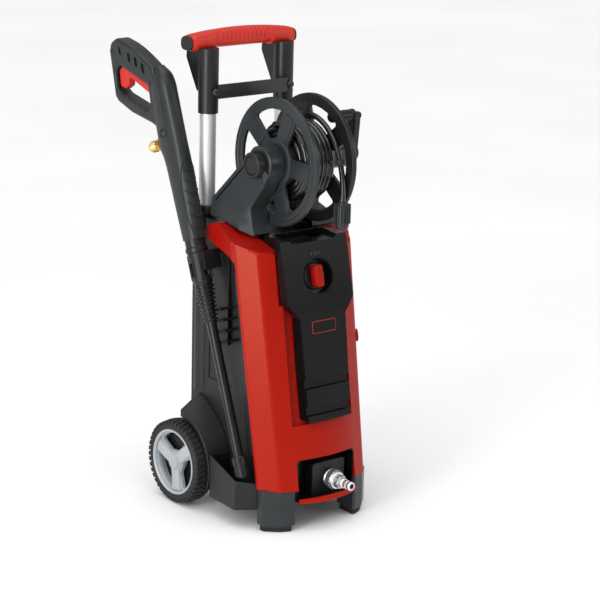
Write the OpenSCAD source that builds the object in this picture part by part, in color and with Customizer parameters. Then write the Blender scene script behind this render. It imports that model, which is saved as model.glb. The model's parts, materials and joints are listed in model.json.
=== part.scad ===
// Upright pressure washer on two wheels: leaning shell, hose reel on top,
// telescopic handle behind it, spray gun and lance stored at the left side.
// +X is the left-to-right direction seen from the front, -Y is the front, +Z is up.
// Everything is drawn from the wheel axle's and the shell's own places, then place()
// moves it so that the origin is under the middle of the machine, on the floor.

/* [Wheels] */
// Radius of the tyres
wheel_r = 80; // [76:1:82]
// Width of the tyres
tyre_w = 42; // [36:1:44]
// Radius of the fixed axle
axle_r = 7; // [6:0.5:8]

/* [Body] */
// How far the front shell leans back, in degrees
lean = 9; // [8.5:0.25:9.5]
// Wall thickness of the shell and the housing
wall = 3; // [2.5:0.25:3.5]
// Radius of the curved front of the shell
front_r = 216; // [205:1:230]

/* [Reel] */
// Radius of the two reel flanges
flange_r = 116.3; // [110:0.5:117]
// Outside radius of the wound hose
coil_r = 73; // [65:0.5:73]
// Diameter of the pressure hose
hose_d = 10.2; // [9:0.2:10.4]

/* [Handle] */
// Radius of the aluminium handle tubes
tube_r = 15; // [14:0.5:15]
// Half the length of the red grip, end caps included
grip_half = 121.5; // [116:0.5:121.5]
// How far the handle pushes down into the body
handle_travel = 160; // [100:5:160]

/* [Gun and lance] */
// How far the stored gun leans back, in degrees
gun_lean = 19.6; // [19:0.2:20]
// Thickness of the gun's two shells together
gun_t = 38; // [34:1:38]
// Radius of the lance tube
lance_r = 9.35; // [8:0.05:9.5]

/* [Hidden] */

fit = 0.05;          // radial play of a running fit
gap = 0.4;           // air between pieces that move past each other
round_fn = 96;       // facets of round outlines
y_shift = -131.8;     // middle of the machine, front to back

// wheels and axle
axle_y = 165;
wheel_in_x = 122;    // inner face of a tyre
tyre_hole_r = 62;    // where the tyre sits on its rim
hub_r = 17;
fender_r = wheel_r + 6;
fender_t = 4;
fender_out_x = 146;

// leaning front shell
shell_z = 80;        // height where the plan outline below is true
crease_x = 99;       // edge between the front and the side chamfer
crease_y = -76;
border_x = 122;      // side edge of the shell
border_y = -41;
leg_top_z = 78;
lip_low_z = 47;
housing_x = 100;     // half width of the black housing
opening_half = 67;   // inlet opening in the shell's foot
opening_low_z = 58;
opening_top_z = 134;

// front panel, standing proud of the shell
panel_top_half = 76.5;
panel_low_half = 49;
panel_low_z = 202;
panel_wide_z = 417;  // below this the panel narrows
panel_top_z = 528;
panel_low_y = -93.4;  // face of the panel at its foot
panel_bend_y = -64.5; // where the face bends further back
panel_bend_z = 402;
panel_top_y = -31.7;
panel_lean = atan((panel_top_y - panel_bend_y) / (panel_top_z - panel_bend_z));
trough_d = 9;        // depth of the trough that the panel sits in
trough_low_z = 183;
trough_half = 77;
tray_half = 69.5;
tray_y = -20;
knob_z = 461;
knob_y = panel_bend_y + (knob_z - panel_bend_z) * tan(panel_lean);
knob_recess_r = 33;
dial_r = 11.5;       // detergent dial on the right chamfer

// water inlet
inlet_x = 18;
inlet_z = 83;
inlet_face_y = -72;

// hose reel
reel_y = 24.3;
reel_z = 660;
coil_half_w = 36.6;
drum_r = 45;
flange_in_x = 37.3;
flange_out_x = 47.5;
bracket_in_x = 50;
bracket_out_x = 80;
right_bracket_out_x = 69;
head_r = 33;
shaft_r = 12;
crank_r = 72;        // knob axis to reel axis
crank_lean = 8;      // resting angle of the crank, forwards
crank_in_x = 122;
crank_out_x = 136;
knob_len = 50;

// handle
tube_x = 86.4;
tube_y = 170;
tube_wall = 1.5;
tube_low_z = 215 + handle_travel;  // clear of the mudguards when pushed down
tube_high_z = 742;
collar_low_z = 546;
collar_high_z = 562;
sleeve_low_z = 731;
sleeve_r = 18.5;
grip_z = 861;
grip_y = 192;

// gun and lance, in their own frame: Z up along the lance, Y to the rear
gun_x = -134.5;
gun_y = -1.8;
gun_z = 125.3;
gun_out = -0.75;     // sideways lean
coupling_r = 18;
collar_r = 20.5;
saddle_top = 384;    // height along the lance where the gun's collar rests
trigger_pin = [22, 690];

// motor and pump, upright inside the housing
motor_y = 75;
motor_r = 62;
motor_low_z = 250;
motor_high_z = 450;

// free end of the hose, from the top of the coil down to its nut
hose_route = [
    [31.5, 24, 739.5], [31.5, 12, 738.5], [31.5, -2, 735], [31.5, -15, 729],
    [31.5, -28, 720], [31.5, -38, 710], [31.5, -47, 699], [31.5, -55, 686],
    [31.5, -61, 673], [31.5, -66, 659], [30.8, -70.5, 645], [29.2, -75, 630],
    [27, -78.8, 616], [24.8, -81.3, 606], [24, -82, 599]
];

module place() translate([0, y_shift, 0]) children();

module mirrored(side) {
    if (side < 0) mirror([1, 0, 0]) children();
    else children();
}

// an extrusion along X of an outline given as [y, z] points
module along_x(x0, x1) {
    translate([x0, 0, 0]) rotate([90, 0, 90]) linear_extrude(x1 - x0) children();
}

module x_cyl(r, x0, x1, fn = round_fn) {
    translate([x0, 0, 0]) rotate([0, 90, 0]) cylinder(r = r, h = x1 - x0, $fn = fn);
}

module leaned() translate([0, 0, shell_z]) rotate([-lean, 0, 0]) children();

// plan outline of the leaning shell, moved inwards by t and open behind y = back
module shell_plan(t, back) {
    intersection() {
        translate([0, front_r - 100]) circle(r = front_r - t, $fn = 180);
        polygon([
            [-border_x + t, back], [-border_x + t, border_y + t * 0.6],
            [-crease_x + t * 0.6, crease_y + t * 0.4], [-crease_x + t + 26, -115],
            [crease_x - t - 26, -115], [crease_x - t * 0.6, crease_y + t * 0.4],
            [border_x - t, border_y + t * 0.6], [border_x - t, back]
        ]);
    }
}

module top_plane_cut(z0) {
    // everything above a roof that rises from z0 at the front edge to the rear
    translate([-200, -12, z0]) rotate([17, 0, 0]) translate([0, -200, 0]) cube([400, 600, 200]);
}

module shoulder_arm(side) {
    // red arm that runs back over the housing beside the handle
    mirrored(side) difference() {
        along_x(housing_x + gap, border_x + 1) polygon([
            [-14, 470], [17, 480], [46, 493], [132, 511], [138, 520], [132, 532],
            [97, 549], [40, 530], [-9, 511]
        ]);
        // narrower towards the rear, beside the stored gun
        translate([border_x + 1, 35, 400]) rotate([0, 0, 4.5]) cube([40, 200, 200]);
    }
}

// space in front of the trough's floor, grown by t towards the inside of the shell
module trough_space(t) {
    leaned() translate([0, 0, trough_low_z - shell_z - t]) difference() {
        translate([-trough_half - t, -140, 0]) cube([2 * (trough_half + t), 140, 420]);
        translate([0, front_r - 100, -1])
            cylinder(r = front_r - trough_d - t, h = 430, $fn = 180);
    }
}

module tray_cut() {
    translate([-tray_half - 0.3, tray_y - 0.3, 490]) cube([2 * tray_half + 0.6, 120, 60]);
}

module red_shell() {
    color([0.78, 0.1, 0.08]) place() {
        difference() {
            leaned() translate([0, 0, -50]) linear_extrude(520) shell_plan(0, -36);
            difference() {
                leaned() translate([0, 0, -51]) linear_extrude(522) shell_plan(wall, -10);
                trough_space(wall);
            }
            trough_space(0);
            tray_cut();
            top_plane_cut(508);
            on_knob() translate([0, 0, -50]) cylinder(r = 8, h = 50, $fn = 48);
            on_dial() translate([0, 0, -20]) cylinder(r = 4 + fit, h = 30, $fn = 48);
            translate([-200, -200, 0]) cube([400, 400, lip_low_z]);
            for (side = [-1, 1])
                translate([side * 132.7 - 65, -200, 0]) cube([130, 400, leg_top_z]);
            // inlet opening with round top corners
            translate([0, -60, 0]) rotate([90, 0, 0]) linear_extrude(120) union() {
                translate([-opening_half, opening_low_z])
                    square([2 * opening_half, opening_top_z - opening_low_z - 10]);
                translate([-opening_half + 10, opening_low_z])
                    square([2 * opening_half - 20, opening_top_z - opening_low_z]);
                for (side = [-1, 1])
                    translate([side * (opening_half - 10), opening_top_z - 10])
                        circle(r = 10, $fn = 48);
            }
        }
        difference() {
            for (side = [-1, 1]) shoulder_arm(side);
            leaned() translate([0, 0, 300]) linear_extrude(220) shell_plan(wall, -10);
        }
        // roof of the shell on each side of the tray
        for (side = [-1, 1]) mirrored(side) along_x(tray_half + 0.3, housing_x + 1) polygon([
            [-9, 504], [-7, 509], [40, 525], [97, 541], [97, 537], [40, 521]
        ]);
    }
}

// frame of the detergent dial: Z out of the shell's right chamfer
module on_dial() leaned() translate([107, -63.8, 240])
    rotate([0, 0, atan2(crease_x - border_x, border_y - crease_y)]) rotate([0, 90, 0]) children();

// frame of the rotary switch: Z out of the panel
module on_knob() translate([0, knob_y, knob_z]) rotate([90 - panel_lean, 0, 0]) children();

module front_panel() {
    color([0.09, 0.09, 0.09]) place() difference() {
        intersection() {
            along_x(-100, 100) polygon([
                [panel_low_y, panel_low_z], [panel_bend_y, panel_bend_z],
                [panel_top_y, panel_top_z], [10, panel_top_z], [-20, panel_low_z]
            ]);
            rotate([90, 0, 0]) translate([0, 0, -30]) linear_extrude(150) polygon([
                [-panel_low_half, panel_low_z], [panel_low_half, panel_low_z], [52, 390],
                [panel_top_half - 2, panel_wide_z], [panel_top_half, panel_top_z],
                [-panel_top_half, panel_top_z], [-panel_top_half + 2, panel_wide_z], [-52, 390]
            ]);
        }
        leaned() translate([0, front_r - 100, -50])
            cylinder(r = front_r - trough_d + 0.3, h = 600, $fn = 180);
        tray_cut();
        for (z = [215, 264]) translate([-80, -100, z]) cube([160, z * 0.145 - 15.5, 17]);
        on_knob() translate([0, 0, -15]) cylinder(r = knob_recess_r, h = 30, $fn = round_fn);
        on_knob() translate([0, 0, -60]) cylinder(r = 6 + fit, h = 60, $fn = 48);
    }
}

module top_tray() {
    color([0.12, 0.12, 0.12]) place() difference() {
        union() {
            along_x(-tray_half, tray_half)
                polygon([[tray_y, 497], [tray_y, panel_top_z], [0, 530], [24, 530], [24, 506], [14, 502]]);
            along_x(-bracket_in_x + gap, bracket_in_x - gap) polygon([
                [20, 504], [20, 530], [30, 530], [60, 536], [95, 541], [95, 534]
            ]);
        }
        // shallow well
        translate([-44, -6, 520]) cube([88, 54, 40]);
    }
}

module housing_side(t) {
    polygon([
        [-50 + t, 66 + t], [17 + t, 500 - t], [104, 536 - t], [193 - t, 546 - t],
        [193 - t, 128 + t], [176, 116 + t], [128, 112 + t], [70, 66 + t]
    ]);
}

module flank_strip() leaned() translate([0, 0, 50]) linear_extrude(335) polygon([
    [housing_x - 1, -30], [116, -30], [113, -16], [housing_x - 1, 14]
]);

module rear_housing() {
    color([0.13, 0.13, 0.13]) place() difference() {
        union() {
            along_x(-housing_x, housing_x) housing_side(0);
            // dark flank strip between the housing and the red border
            for (side = [-1, 1]) mirrored(side) flank_strip();
            // channels that clear the handle tubes
            intersection() {
                along_x(-120, 120) housing_side(0);
                for (side = [-1, 1]) translate([side * tube_x, tube_y, 209])
                    cylinder(r = tube_r + 5.5, h = 400, $fn = round_fn);
            }
        }
        along_x(-housing_x + wall, housing_x - wall) housing_side(wall);
        for (side = [-1, 1]) translate([side * tube_x, tube_y, 0]) {
            translate([0, 0, 212]) cylinder(r = tube_r + 1, h = 300, $fn = round_fn);
            translate([0, 0, 500]) cylinder(r = tube_r + 3, h = 80, $fn = round_fn);
        }
        translate([0, 180, 300]) rotate([-90, 0, 0]) cylinder(r = 8, h = 30, $fn = 48);
        translate([inlet_x, -60, inlet_z]) rotate([-90, 0, 0]) cylinder(r = 14, h = 30, $fn = 48);
    }
}

module pocket_plan(t) {
    polygon([
        [-housing_x, -35 + t], [-117 + t * 0.3, -34.5 + t], [-152 + t, -12 + t],
        [-fender_out_x + t, 74 - t], [-housing_x, 74 - t]
    ]);
}

module side_pocket() {
    difference() {
        translate([0, 0, 36]) linear_extrude(84) pocket_plan(0);
        translate([0, 0, 39]) linear_extrude(90) pocket_plan(wall);
        // sloping mouth, lower at the front
        translate([-170, -36, 84]) rotate([17, 0, 0]) cube([100, 160, 60]);
    }
}

// open pockets on both flanks: the left one holds the lance, the right one is free
module side_pockets() {
    color([0.14, 0.14, 0.14]) place() for (side = [-1, 1])
        mirrored(side) mirror([1, 0, 0]) side_pocket();
}

module base_chassis() {
    color([0.14, 0.14, 0.14]) place() difference() {
        union() {
            translate([-housing_x, -36, 36]) cube([2 * housing_x, 110, 26]);
            along_x(-housing_x, housing_x)
                polygon([[70, 36], [70, 65], [128, 111], [176, 115], [188, 100], [188, 62], [150, 40]]);
            for (side = [-1, 1]) translate([0, axle_y, wheel_r])
                mirrored(side) x_cyl(22, housing_x - 1, wheel_in_x - 4);
        }
        along_x(-housing_x + 5, housing_x - 5)
            polygon([[76, 42], [76, 62], [130, 106], [148, 106], [148, 46]]);
        translate([0, axle_y, wheel_r]) x_cyl(axle_r, -150, 150);
    }
}

// arched mudguard over the inner half of a wheel, rising to the housing wall
// radius of the mudguard's back where it meets the housing, by angle from the top
function guard_back(a) = min(lookup(a, [
    [0, 126], [10, 119], [20, 112], [40, 105], [56, 102], [68, 99], [120, 99]
]), a < 60 ? 200 : 90.2 / sin(a));
function guard_edge(a) = fender_r + lookup(a, [[0, 14], [20, 9], [45, 5], [80, 4], [120, 4]]);
module fender(side) {
    angles = [for (i = [0:16]) i * 7];
    n = len(angles);
    // five points to a section: under edge, outer edge, swell, back and under back
    points = [for (a = angles) let (
        edge = guard_edge(a), back = guard_back(a), low = fender_r,
        section = [[fender_out_x, low], [fender_out_x, edge],
            [122, edge * 0.52 + back * 0.48 + (a < 60 ? 1.2 : 0)], [housing_x, back], [housing_x, low]]
    ) for (p = section) [p[0], -p[1] * sin(a), p[1] * cos(a)]];
    walls = [for (i = [0:n - 2], k = [0:4]) let (a = i * 5 + k, b = i * 5 + (k + 1) % 5)
        each [[a, b + 5, b], [a, a + 5, b + 5]]];
    last = (n - 1) * 5;
    ends = [[0, 1, 2, 3, 4], [last + 4, last + 3, last + 2, last + 1, last]];
    color([0.13, 0.13, 0.13]) place() mirrored(side) translate([0, axle_y, wheel_r])
        polyhedron(points, concat(walls, ends));
}
module fender_left() fender(-1);
module fender_right() fender(1);

module leg_plan(t) {
    polygon([
        [121 - t, -36.3 - t], [121 - t, -54 + t * 0.4], [96 - t * 0.3, -77 + t],
        [68 + t, -87 + t], [68 + t, -36.3 - t]
    ]);
}
module front_leg(side) {
    color([0.2, 0.22, 0.22]) place() mirrored(side) difference() {
        union() {
            translate([0, 0, 12]) linear_extrude(leg_top_z - 12.3) leg_plan(0);
            translate([0, 0, 9]) linear_extrude(4) leg_plan(4);
        }
        // room for the housing's lower front corner
        translate([0, -53, 65.7]) cube([housing_x + 1, 60, 20]);
    }
}
module front_leg_left() front_leg(-1);
module front_leg_right() front_leg(1);

module foot_pads() {
    color([0.08, 0.08, 0.08]) place() for (side = [-1, 1]) mirrored(side)
        linear_extrude(9) leg_plan(4);
}

module inlet_block() {
    color([0.08, 0.08, 0.08]) place() difference() {
        translate([inlet_x - 38, inlet_face_y, 51]) cube([76, 21.6, 64]);
        translate([inlet_x, -80, inlet_z]) rotate([-90, 0, 0]) cylinder(r = 13.3, h = 32, $fn = 64);
    }
}

// threaded water inlet with its nut and quick-connector nipple
module inlet_nut() {
    color([0.75, 0.76, 0.76]) place() translate([inlet_x, inlet_face_y, inlet_z])
        rotate([90, 0, 0]) difference() {
            union() {
                translate([0, 0, -30]) cylinder(r = 13.3, h = 34, $fn = 64);
                translate([0, 0, 4]) cylinder(r = 17, h = 22, $fn = round_fn);
                translate([0, 0, 26]) cylinder(r = 13, h = 18, $fn = 6);
                translate([0, 0, 44]) cylinder(r = 7, h = 6, $fn = 64);
                translate([0, 0, 50]) cylinder(r = 8.25, h = 16, $fn = 64);
            }
            translate([0, 0, -31]) cylinder(r = 5, h = 100, $fn = 48);
        }
}

module axle() {
    color([0.6, 0.6, 0.62]) place() translate([0, axle_y, wheel_r]) x_cyl(axle_r, -158, 158);
}

module bracket_profile() {
    polygon([
        [30, 527], [34, 548], [38, 577], [reel_y - 30, reel_z - 14], [reel_y, reel_z],
        [reel_y + 26, reel_z + 20], [125, 586], [125, 552], [97, 549.5], [60, 538]
    ]);
}

module bracket_head(out_x, boss_x) {
    translate([0, reel_y, reel_z]) x_cyl(head_r, bracket_in_x, out_x);
    translate([0, reel_y, reel_z]) x_cyl(25, out_x - 1, boss_x);
}

module bracket_bore(boss_x)
    translate([0, reel_y, reel_z]) x_cyl(shaft_r + fit, bracket_in_x - 1, boss_x + 1);

// keeps the front outer corner of the broad bracket chamfered; levels of four points
module corner_cut() {
    plan = [[78, 18.7], [118, 88], [178, 53], [138, -16.3]];
    levels = [[0, 0, 500], [0, 0, 577], [-9.1, -54.2, 666.7]];
    points = [for (l = levels) for (p = plan) [p[0] + l[0], p[1] + l[1], l[2]]];
    walls = [for (k = [0, 4], i = [0:3]) [k + i, k + (i + 1) % 4, k + 4 + (i + 1) % 4, k + 4 + i]];
    polyhedron(points, concat(walls, [[3, 2, 1, 0], [8, 9, 10, 11]]));
}

// broad bracket that flares out towards the shoulder
module bracket_left() {
    color([0.22, 0.24, 0.25]) place() mirrored(-1) difference() {
        union() {
            difference() {
                intersection() {
                    along_x(bracket_in_x, 112) bracket_profile();
                    translate([0, 140, 0]) rotate([90, 0, 0]) linear_extrude(160)
                        polygon([[40, 500], [112, 500], [112, 560], [80, 640], [80, 700], [40, 700]]);
                }
                corner_cut();
            }
            bracket_head(bracket_out_x, bracket_out_x + 1);
        }
        bracket_bore(bracket_out_x + 1);
    }
}

// slim bracket behind the folded crank
module bracket_right() {
    color([0.22, 0.24, 0.25]) place() difference() {
        union() {
            along_x(bracket_in_x, right_bracket_out_x) bracket_profile();
            bracket_head(right_bracket_out_x, 112);
            along_x(bracket_in_x, 112) polygon([
                [30, 527], [33, 540], [97, 560], [125, 566], [125, 552], [97, 549.5], [60, 538]
            ]);
        }
        bracket_bore(112);
        // recessed flank
        along_x(right_bracket_out_x - 8, right_bracket_out_x + 1)
            polygon([[52, 566], [60, 620], [112, 580], [112, 566]]);
    }
}

module bracket_cap() {
    color([0.24, 0.26, 0.27]) place() mirrored(-1) translate([0, reel_y, reel_z])
        union() {
            x_cyl(23.5, bracket_out_x + 1, bracket_out_x + 21);
            x_cyl(shaft_r - 1, bracket_out_x - 2, bracket_out_x + 1.1);
        }
}

module tube_collars() {
    color([0.1, 0.1, 0.1]) place() for (side = [-1, 1])
        translate([side * tube_x, tube_y, 0]) difference() {
            union() {
                translate([0, 0, collar_low_z]) cylinder(r = 21, h = collar_high_z - collar_low_z, $fn = round_fn);
                translate([0, 0, 505]) cylinder(r = tube_r + 3, h = 45, $fn = round_fn);
            }
            translate([0, 0, 500]) cylinder(r = tube_r + fit, h = 80, $fn = round_fn);
        }
}

module on_gun() translate([gun_x, gun_y, gun_z]) rotate([-gun_lean, gun_out, 0]) children();

// saddle under the gun's collar, and four lance fins below it
module gun_holder() {
    color([0.1, 0.1, 0.1]) place() difference() {
        union() {
            intersection() {
                union() {
                    on_gun() translate([-6, -24, saddle_top - 34]) cube([60, 48, 34]);
                    for (w = [212, 232, 252, 272]) on_gun() translate([6, -26, w]) cube([60, 52, 5]);
                }
                translate([-300, 0, 0]) cube([300 - housing_x, 300, 600]);
            }
            translate([-housing_x - 6, 76, 318]) cube([6, 50, 170]);
        }
        on_gun() translate([0, 0, 180]) cylinder(r = coupling_r + gap, h = 240, $fn = round_fn);
        mirrored(-1) flank_strip();
    }
}

module cable_gland() {
    color([0.08, 0.08, 0.08]) place() translate([0, 0, 300]) rotate([-90, 0, 0]) difference() {
        union() {
            translate([0, 0, 184]) cylinder(r = 8, h = 9.2, $fn = 48);
            translate([0, 0, 193]) cylinder(r = 13, h = 8.1, $fn = 6);
            translate([0, 0, 201]) cylinder(r1 = 11, r2 = 7, h = 10, $fn = 48);
        }
        translate([0, 0, 180]) cylinder(r = 4.5, h = 40, $fn = 48);
    }
}

module motor_axis() translate([0, motor_y, 0]) children();

module motor_housing() {
    color([0.5, 0.5, 0.52]) place() motor_axis() difference() {
        union() {
            translate([0, 0, motor_low_z]) cylinder(r = motor_r, h = motor_high_z - motor_low_z, $fn = round_fn);
            translate([0, 0, 166.8]) cylinder(r = 44, h = motor_low_z - 166.8, $fn = round_fn);
            // cross beam that carries the motor in the housing
            translate([-housing_x + wall, -20, 330]) cube([2 * (housing_x - wall), 40, 14]);
        }
        translate([0, 0, motor_low_z + 8]) cylinder(r = 52, h = 170, $fn = round_fn);
        translate([0, 0, 160]) cylinder(r = 38, h = motor_low_z - 170, $fn = round_fn);
        translate([0, 0, motor_low_z - 20]) cylinder(r = 8 + fit, h = 40, $fn = 64);
        translate([0, 0, motor_high_z - 25]) cylinder(r = 8 + fit, h = 30, $fn = 64);
    }
}

// shaft with winding stack, cooling fan on top and swash plate below
module motor_rotor() {
    color([0.62, 0.45, 0.3]) place() motor_axis() union() {
        translate([0, 0, 228]) cylinder(r = 8, h = 240, $fn = 64);
        translate([0, 0, 275]) cylinder(r = 45, h = 130, $fn = round_fn);
        translate([0, 0, 456]) cylinder(r = 14, h = 10, $fn = 64);
        for (i = [0:7]) rotate([0, 0, i * 45]) translate([12, -1, 456]) cube([38, 2, 10]);
        difference() {
            translate([0, 0, 214]) cylinder(r = 34, h = 22, $fn = 64);
            translate([0, 0, 214]) rotate([10, 0, 0]) translate([0, 0, -20]) cylinder(r = 60, h = 20, $fn = 64);
        }
    }
}

module pump_head() {
    color([0.72, 0.72, 0.7]) place() motor_axis() difference() {
        union() {
            translate([0, 0, 69.2]) cylinder(r = 40, h = 97.3, $fn = round_fn);
            translate([inlet_x - 12, -116.5, 72]) cube([24, 90, 22]);
        }
        for (a = [90, 210, 330]) rotate([0, 0, a]) translate([22, 0, 110])
            cylinder(r = 7 + fit, h = 60, $fn = 64);
        // socket of the pressure pipe
        translate([28, 46 - motor_y, 90]) rotate([0, 90, 0]) cylinder(r = 5 + fit, h = 20, $fn = 48);
        // slanted underside above the housing's floor
        translate([0, -motor_y, 0]) along_x(-60, 60) polygon([[66, 50], [66, 69.3], [135, 124], [135, 50]]);
    }
}

module pump_pistons() {
    color([0.8, 0.8, 0.82]) place() motor_axis() for (a = [90, 210, 330])
        rotate([0, 0, a]) translate([22, 0, 112]) cylinder(r = 7, h = 101.5, $fn = 64);
}

// high-pressure pipe from the pump up to the reel
module pressure_pipe() {
    color([0.7, 0.6, 0.3]) place() {
        translate([76, 46, 90]) cylinder(r = 5, h = 412, $fn = 48);
        translate([28, 46, 90]) rotate([0, 90, 0]) cylinder(r = 5, h = 48, $fn = 48);
    }
}

module switch_box() {
    color([0.2, 0.2, 0.2]) place() on_knob() difference() {
        translate([-28, -20, -52]) cube([56, 40, 24]);
        translate([0, 0, -40]) cylinder(r = 6 + fit, h = 20, $fn = 48);
    }
}

module tyre(side) {
    color([0.07, 0.07, 0.07]) place() mirrored(side) translate([wheel_in_x, axle_y, wheel_r])
        rotate([0, 90, 0]) difference() {
            union() {
                cylinder(r = wheel_r - 2.5, h = tyre_w, $fn = 120);
                // tread blocks in two staggered rows
                for (i = [0:23], row = [0, 1]) rotate([0, 0, i * 15 + row * 7.5])
                    translate([wheel_r - 8, -6, row * tyre_w / 2 + 1.5]) cube([9, 12, tyre_w / 2 - 3]);
            }
            translate([0, 0, -1]) cylinder(r = tyre_hole_r, h = tyre_w + 2, $fn = 120);
            translate([0, 0, -50]) difference() {
                cylinder(r = wheel_r + 9, h = tyre_w + 100, $fn = 120);
                translate([0, 0, -1]) cylinder(r = wheel_r, h = tyre_w + 102, $fn = 120);
            }
        }
}
module tyre_left() tyre(-1);
module tyre_right() tyre(1);

module rim(side) {
    color([0.72, 0.73, 0.74]) place() mirrored(side) translate([wheel_in_x, axle_y, wheel_r])
        rotate([0, 90, 0]) difference() {
            union() {
                difference() {
                    translate([0, 0, 1]) cylinder(r = tyre_hole_r, h = tyre_w - 2, $fn = 120);
                    translate([0, 0, -1]) cylinder(r = tyre_hole_r - 6, h = tyre_w + 2, $fn = 120);
                }
                for (a = [0, 120, 240]) rotate([0, 0, a + 112])
                    translate([hub_r - 4, -15, tyre_w - 22]) cube([tyre_hole_r - hub_r, 30, 17]);
                cylinder(r = hub_r, h = tyre_w - 3, $fn = round_fn);
                translate([0, 0, tyre_w - 26]) cylinder(r = tyre_hole_r - 4, h = 4, $fn = 120);
            }
            translate([0, 0, -2]) cylinder(r = axle_r + fit, h = tyre_w + 3, $fn = 96);
        }
}
module rim_left() rim(-1);
module rim_right() rim(1);

module hub_cap(side) {
    color([0.75, 0.76, 0.77]) place() mirrored(side) translate([wheel_in_x, axle_y, wheel_r])
        rotate([0, 90, 0]) difference() {
            translate([0, 0, tyre_w - 3]) cylinder(r = 14, h = 3, $fn = round_fn);
            translate([0, 0, tyre_w - 4]) cylinder(r = axle_r + gap, h = 3, $fn = 64);
        }
}
module hub_cap_left() hub_cap(-1);
module hub_cap_right() hub_cap(1);

module reel_axis() translate([0, reel_y, reel_z]) children();

module reel_drum() {
    color([0.12, 0.12, 0.12]) place() reel_axis() union() {
        difference() {
            x_cyl(drum_r, -flange_in_x, flange_in_x);
            x_cyl(drum_r - 4, -flange_in_x - 1, flange_in_x - 4);
        }
        x_cyl(shaft_r, 4 - bracket_out_x, crank_out_x - 2);
    }
}

module flange(side, phase) {
    color([0.2, 0.22, 0.23]) place() reel_axis() mirrored(side) difference() {
        x_cyl(flange_r, flange_in_x, flange_out_x, 180);
        // five windows between the spokes
        for (i = [0:4]) rotate([i * 72 + phase, 0, 0]) along_x(flange_in_x - 1, flange_out_x + 1)
            polygon(concat(
                [for (a = [-24:6:24]) 96 * [sin(a), cos(a)]],
                [for (a = [14:-7:-14]) 44 * [sin(a), cos(a)]]
            ));
        // spokes and hub lie a little below the rim
        difference() {
            x_cyl(97.5, flange_out_x - 1.5, flange_out_x + 1, 180);
            x_cyl(40, flange_out_x - 2, flange_out_x + 2, 120);
        }
        x_cyl(shaft_r, flange_in_x - 1, flange_out_x + 1);
    }
}
module flange_left() flange(-1, 59);
module flange_right() flange(1, 19);

// crank on the right end of the reel shaft, forked at its tip
module crank_arm() {
    color([0.12, 0.12, 0.12]) place() reel_axis() rotate([crank_lean, 0, 0]) difference() {
        union() {
            x_cyl(17, crank_in_x, crank_out_x + 2);
            along_x(crank_in_x, crank_out_x)
                polygon([[-14, 0], [-11, crank_r], [11, crank_r], [14, 0]]);
            translate([0, 0, crank_r]) x_cyl(11, crank_in_x, crank_out_x);
        }
        x_cyl(shaft_r, crank_in_x - 1, crank_out_x - 2);
        translate([crank_in_x - 5, -5.5, crank_r - 10]) cube([30, 11, 40]);
        // the head is rounded about the knob's pin
        translate([(crank_in_x + crank_out_x) / 2, 0, crank_r]) difference() {
            translate([-15, -20, 0]) cube([30, 40, 20]);
            rotate([90, 0, 0]) cylinder(r = 8.1, h = 60, center = true, $fn = 64);
        }
        translate([(crank_in_x + crank_out_x) / 2, 20, crank_r]) rotate([90, 0, 0])
            cylinder(r = 2 + fit, h = 40, $fn = 48);
    }
}

// folding knob: tongue with a cross pin, fluted grip pointing inwards when stowed
module crank_knob() {
    color([0.1, 0.1, 0.1]) place() reel_axis() rotate([crank_lean, 0, 0])
        translate([(crank_in_x + crank_out_x) / 2, 0, crank_r]) union() {
            rotate([90, 0, 0]) translate([0, 0, -5]) cylinder(r = 6.5, h = 10, $fn = 64);
            rotate([90, 0, 0]) translate([0, 0, -10]) cylinder(r = 2, h = 20, $fn = 48);
            translate([-9, -4.5, -4.5]) cube([9, 9, 9]);
            x_cyl(7, -9, -8.5, 48);
            difference() {
                x_cyl(10.5, -8.5 - knob_len, -8.5);
                for (i = [0:9]) rotate([i * 36, 0, 0])
                    translate([0, 0, 11.4]) x_cyl(2, -9 - knob_len, -12, 24);
            }
        }
}

module hose_coil() {
    color([0.05, 0.05, 0.05]) place() reel_axis() rotate([0, 90, 0]) rotate_extrude($fn = 120)
        translate([drum_r + 0.2, -coil_half_w]) square([coil_r - drum_r - 0.2, 2 * coil_half_w]);
}

module handle_tube(side) {
    color([0.75, 0.76, 0.78]) place() translate([side * tube_x, tube_y, tube_low_z]) difference() {
        cylinder(r = tube_r, h = tube_high_z - tube_low_z, $fn = round_fn);
        translate([0, 0, -1]) cylinder(r = tube_r - tube_wall, h = tube_high_z - tube_low_z + 2, $fn = round_fn);
    }
}
module tube_left() handle_tube(-1);
module tube_right() handle_tube(1);

// black upper handle leg that takes the tube from below and the grip on top
module sleeve(side) {
    color([0.1, 0.1, 0.1]) place() mirrored(side) translate([tube_x, tube_y, 0]) difference() {
        union() {
            translate([0, 0, sleeve_low_z]) cylinder(r = sleeve_r, h = 112, $fn = round_fn);
            along_x(-14, 14) polygon([
                [-15, 800], [-12, 848], [4, 873], [36, 873], [46, 858], [48, 826], [12, 770], [0, 770]
            ]);
        }
        translate([0, 0, sleeve_low_z - 1]) cylinder(r = tube_r, h = tube_high_z - sleeve_low_z + 1, $fn = round_fn);
        translate([0, grip_y - tube_y, grip_z]) x_cyl(11.8, -40, 40);
    }
}
module sleeve_left() sleeve(-1);
module sleeve_right() sleeve(1);

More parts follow.
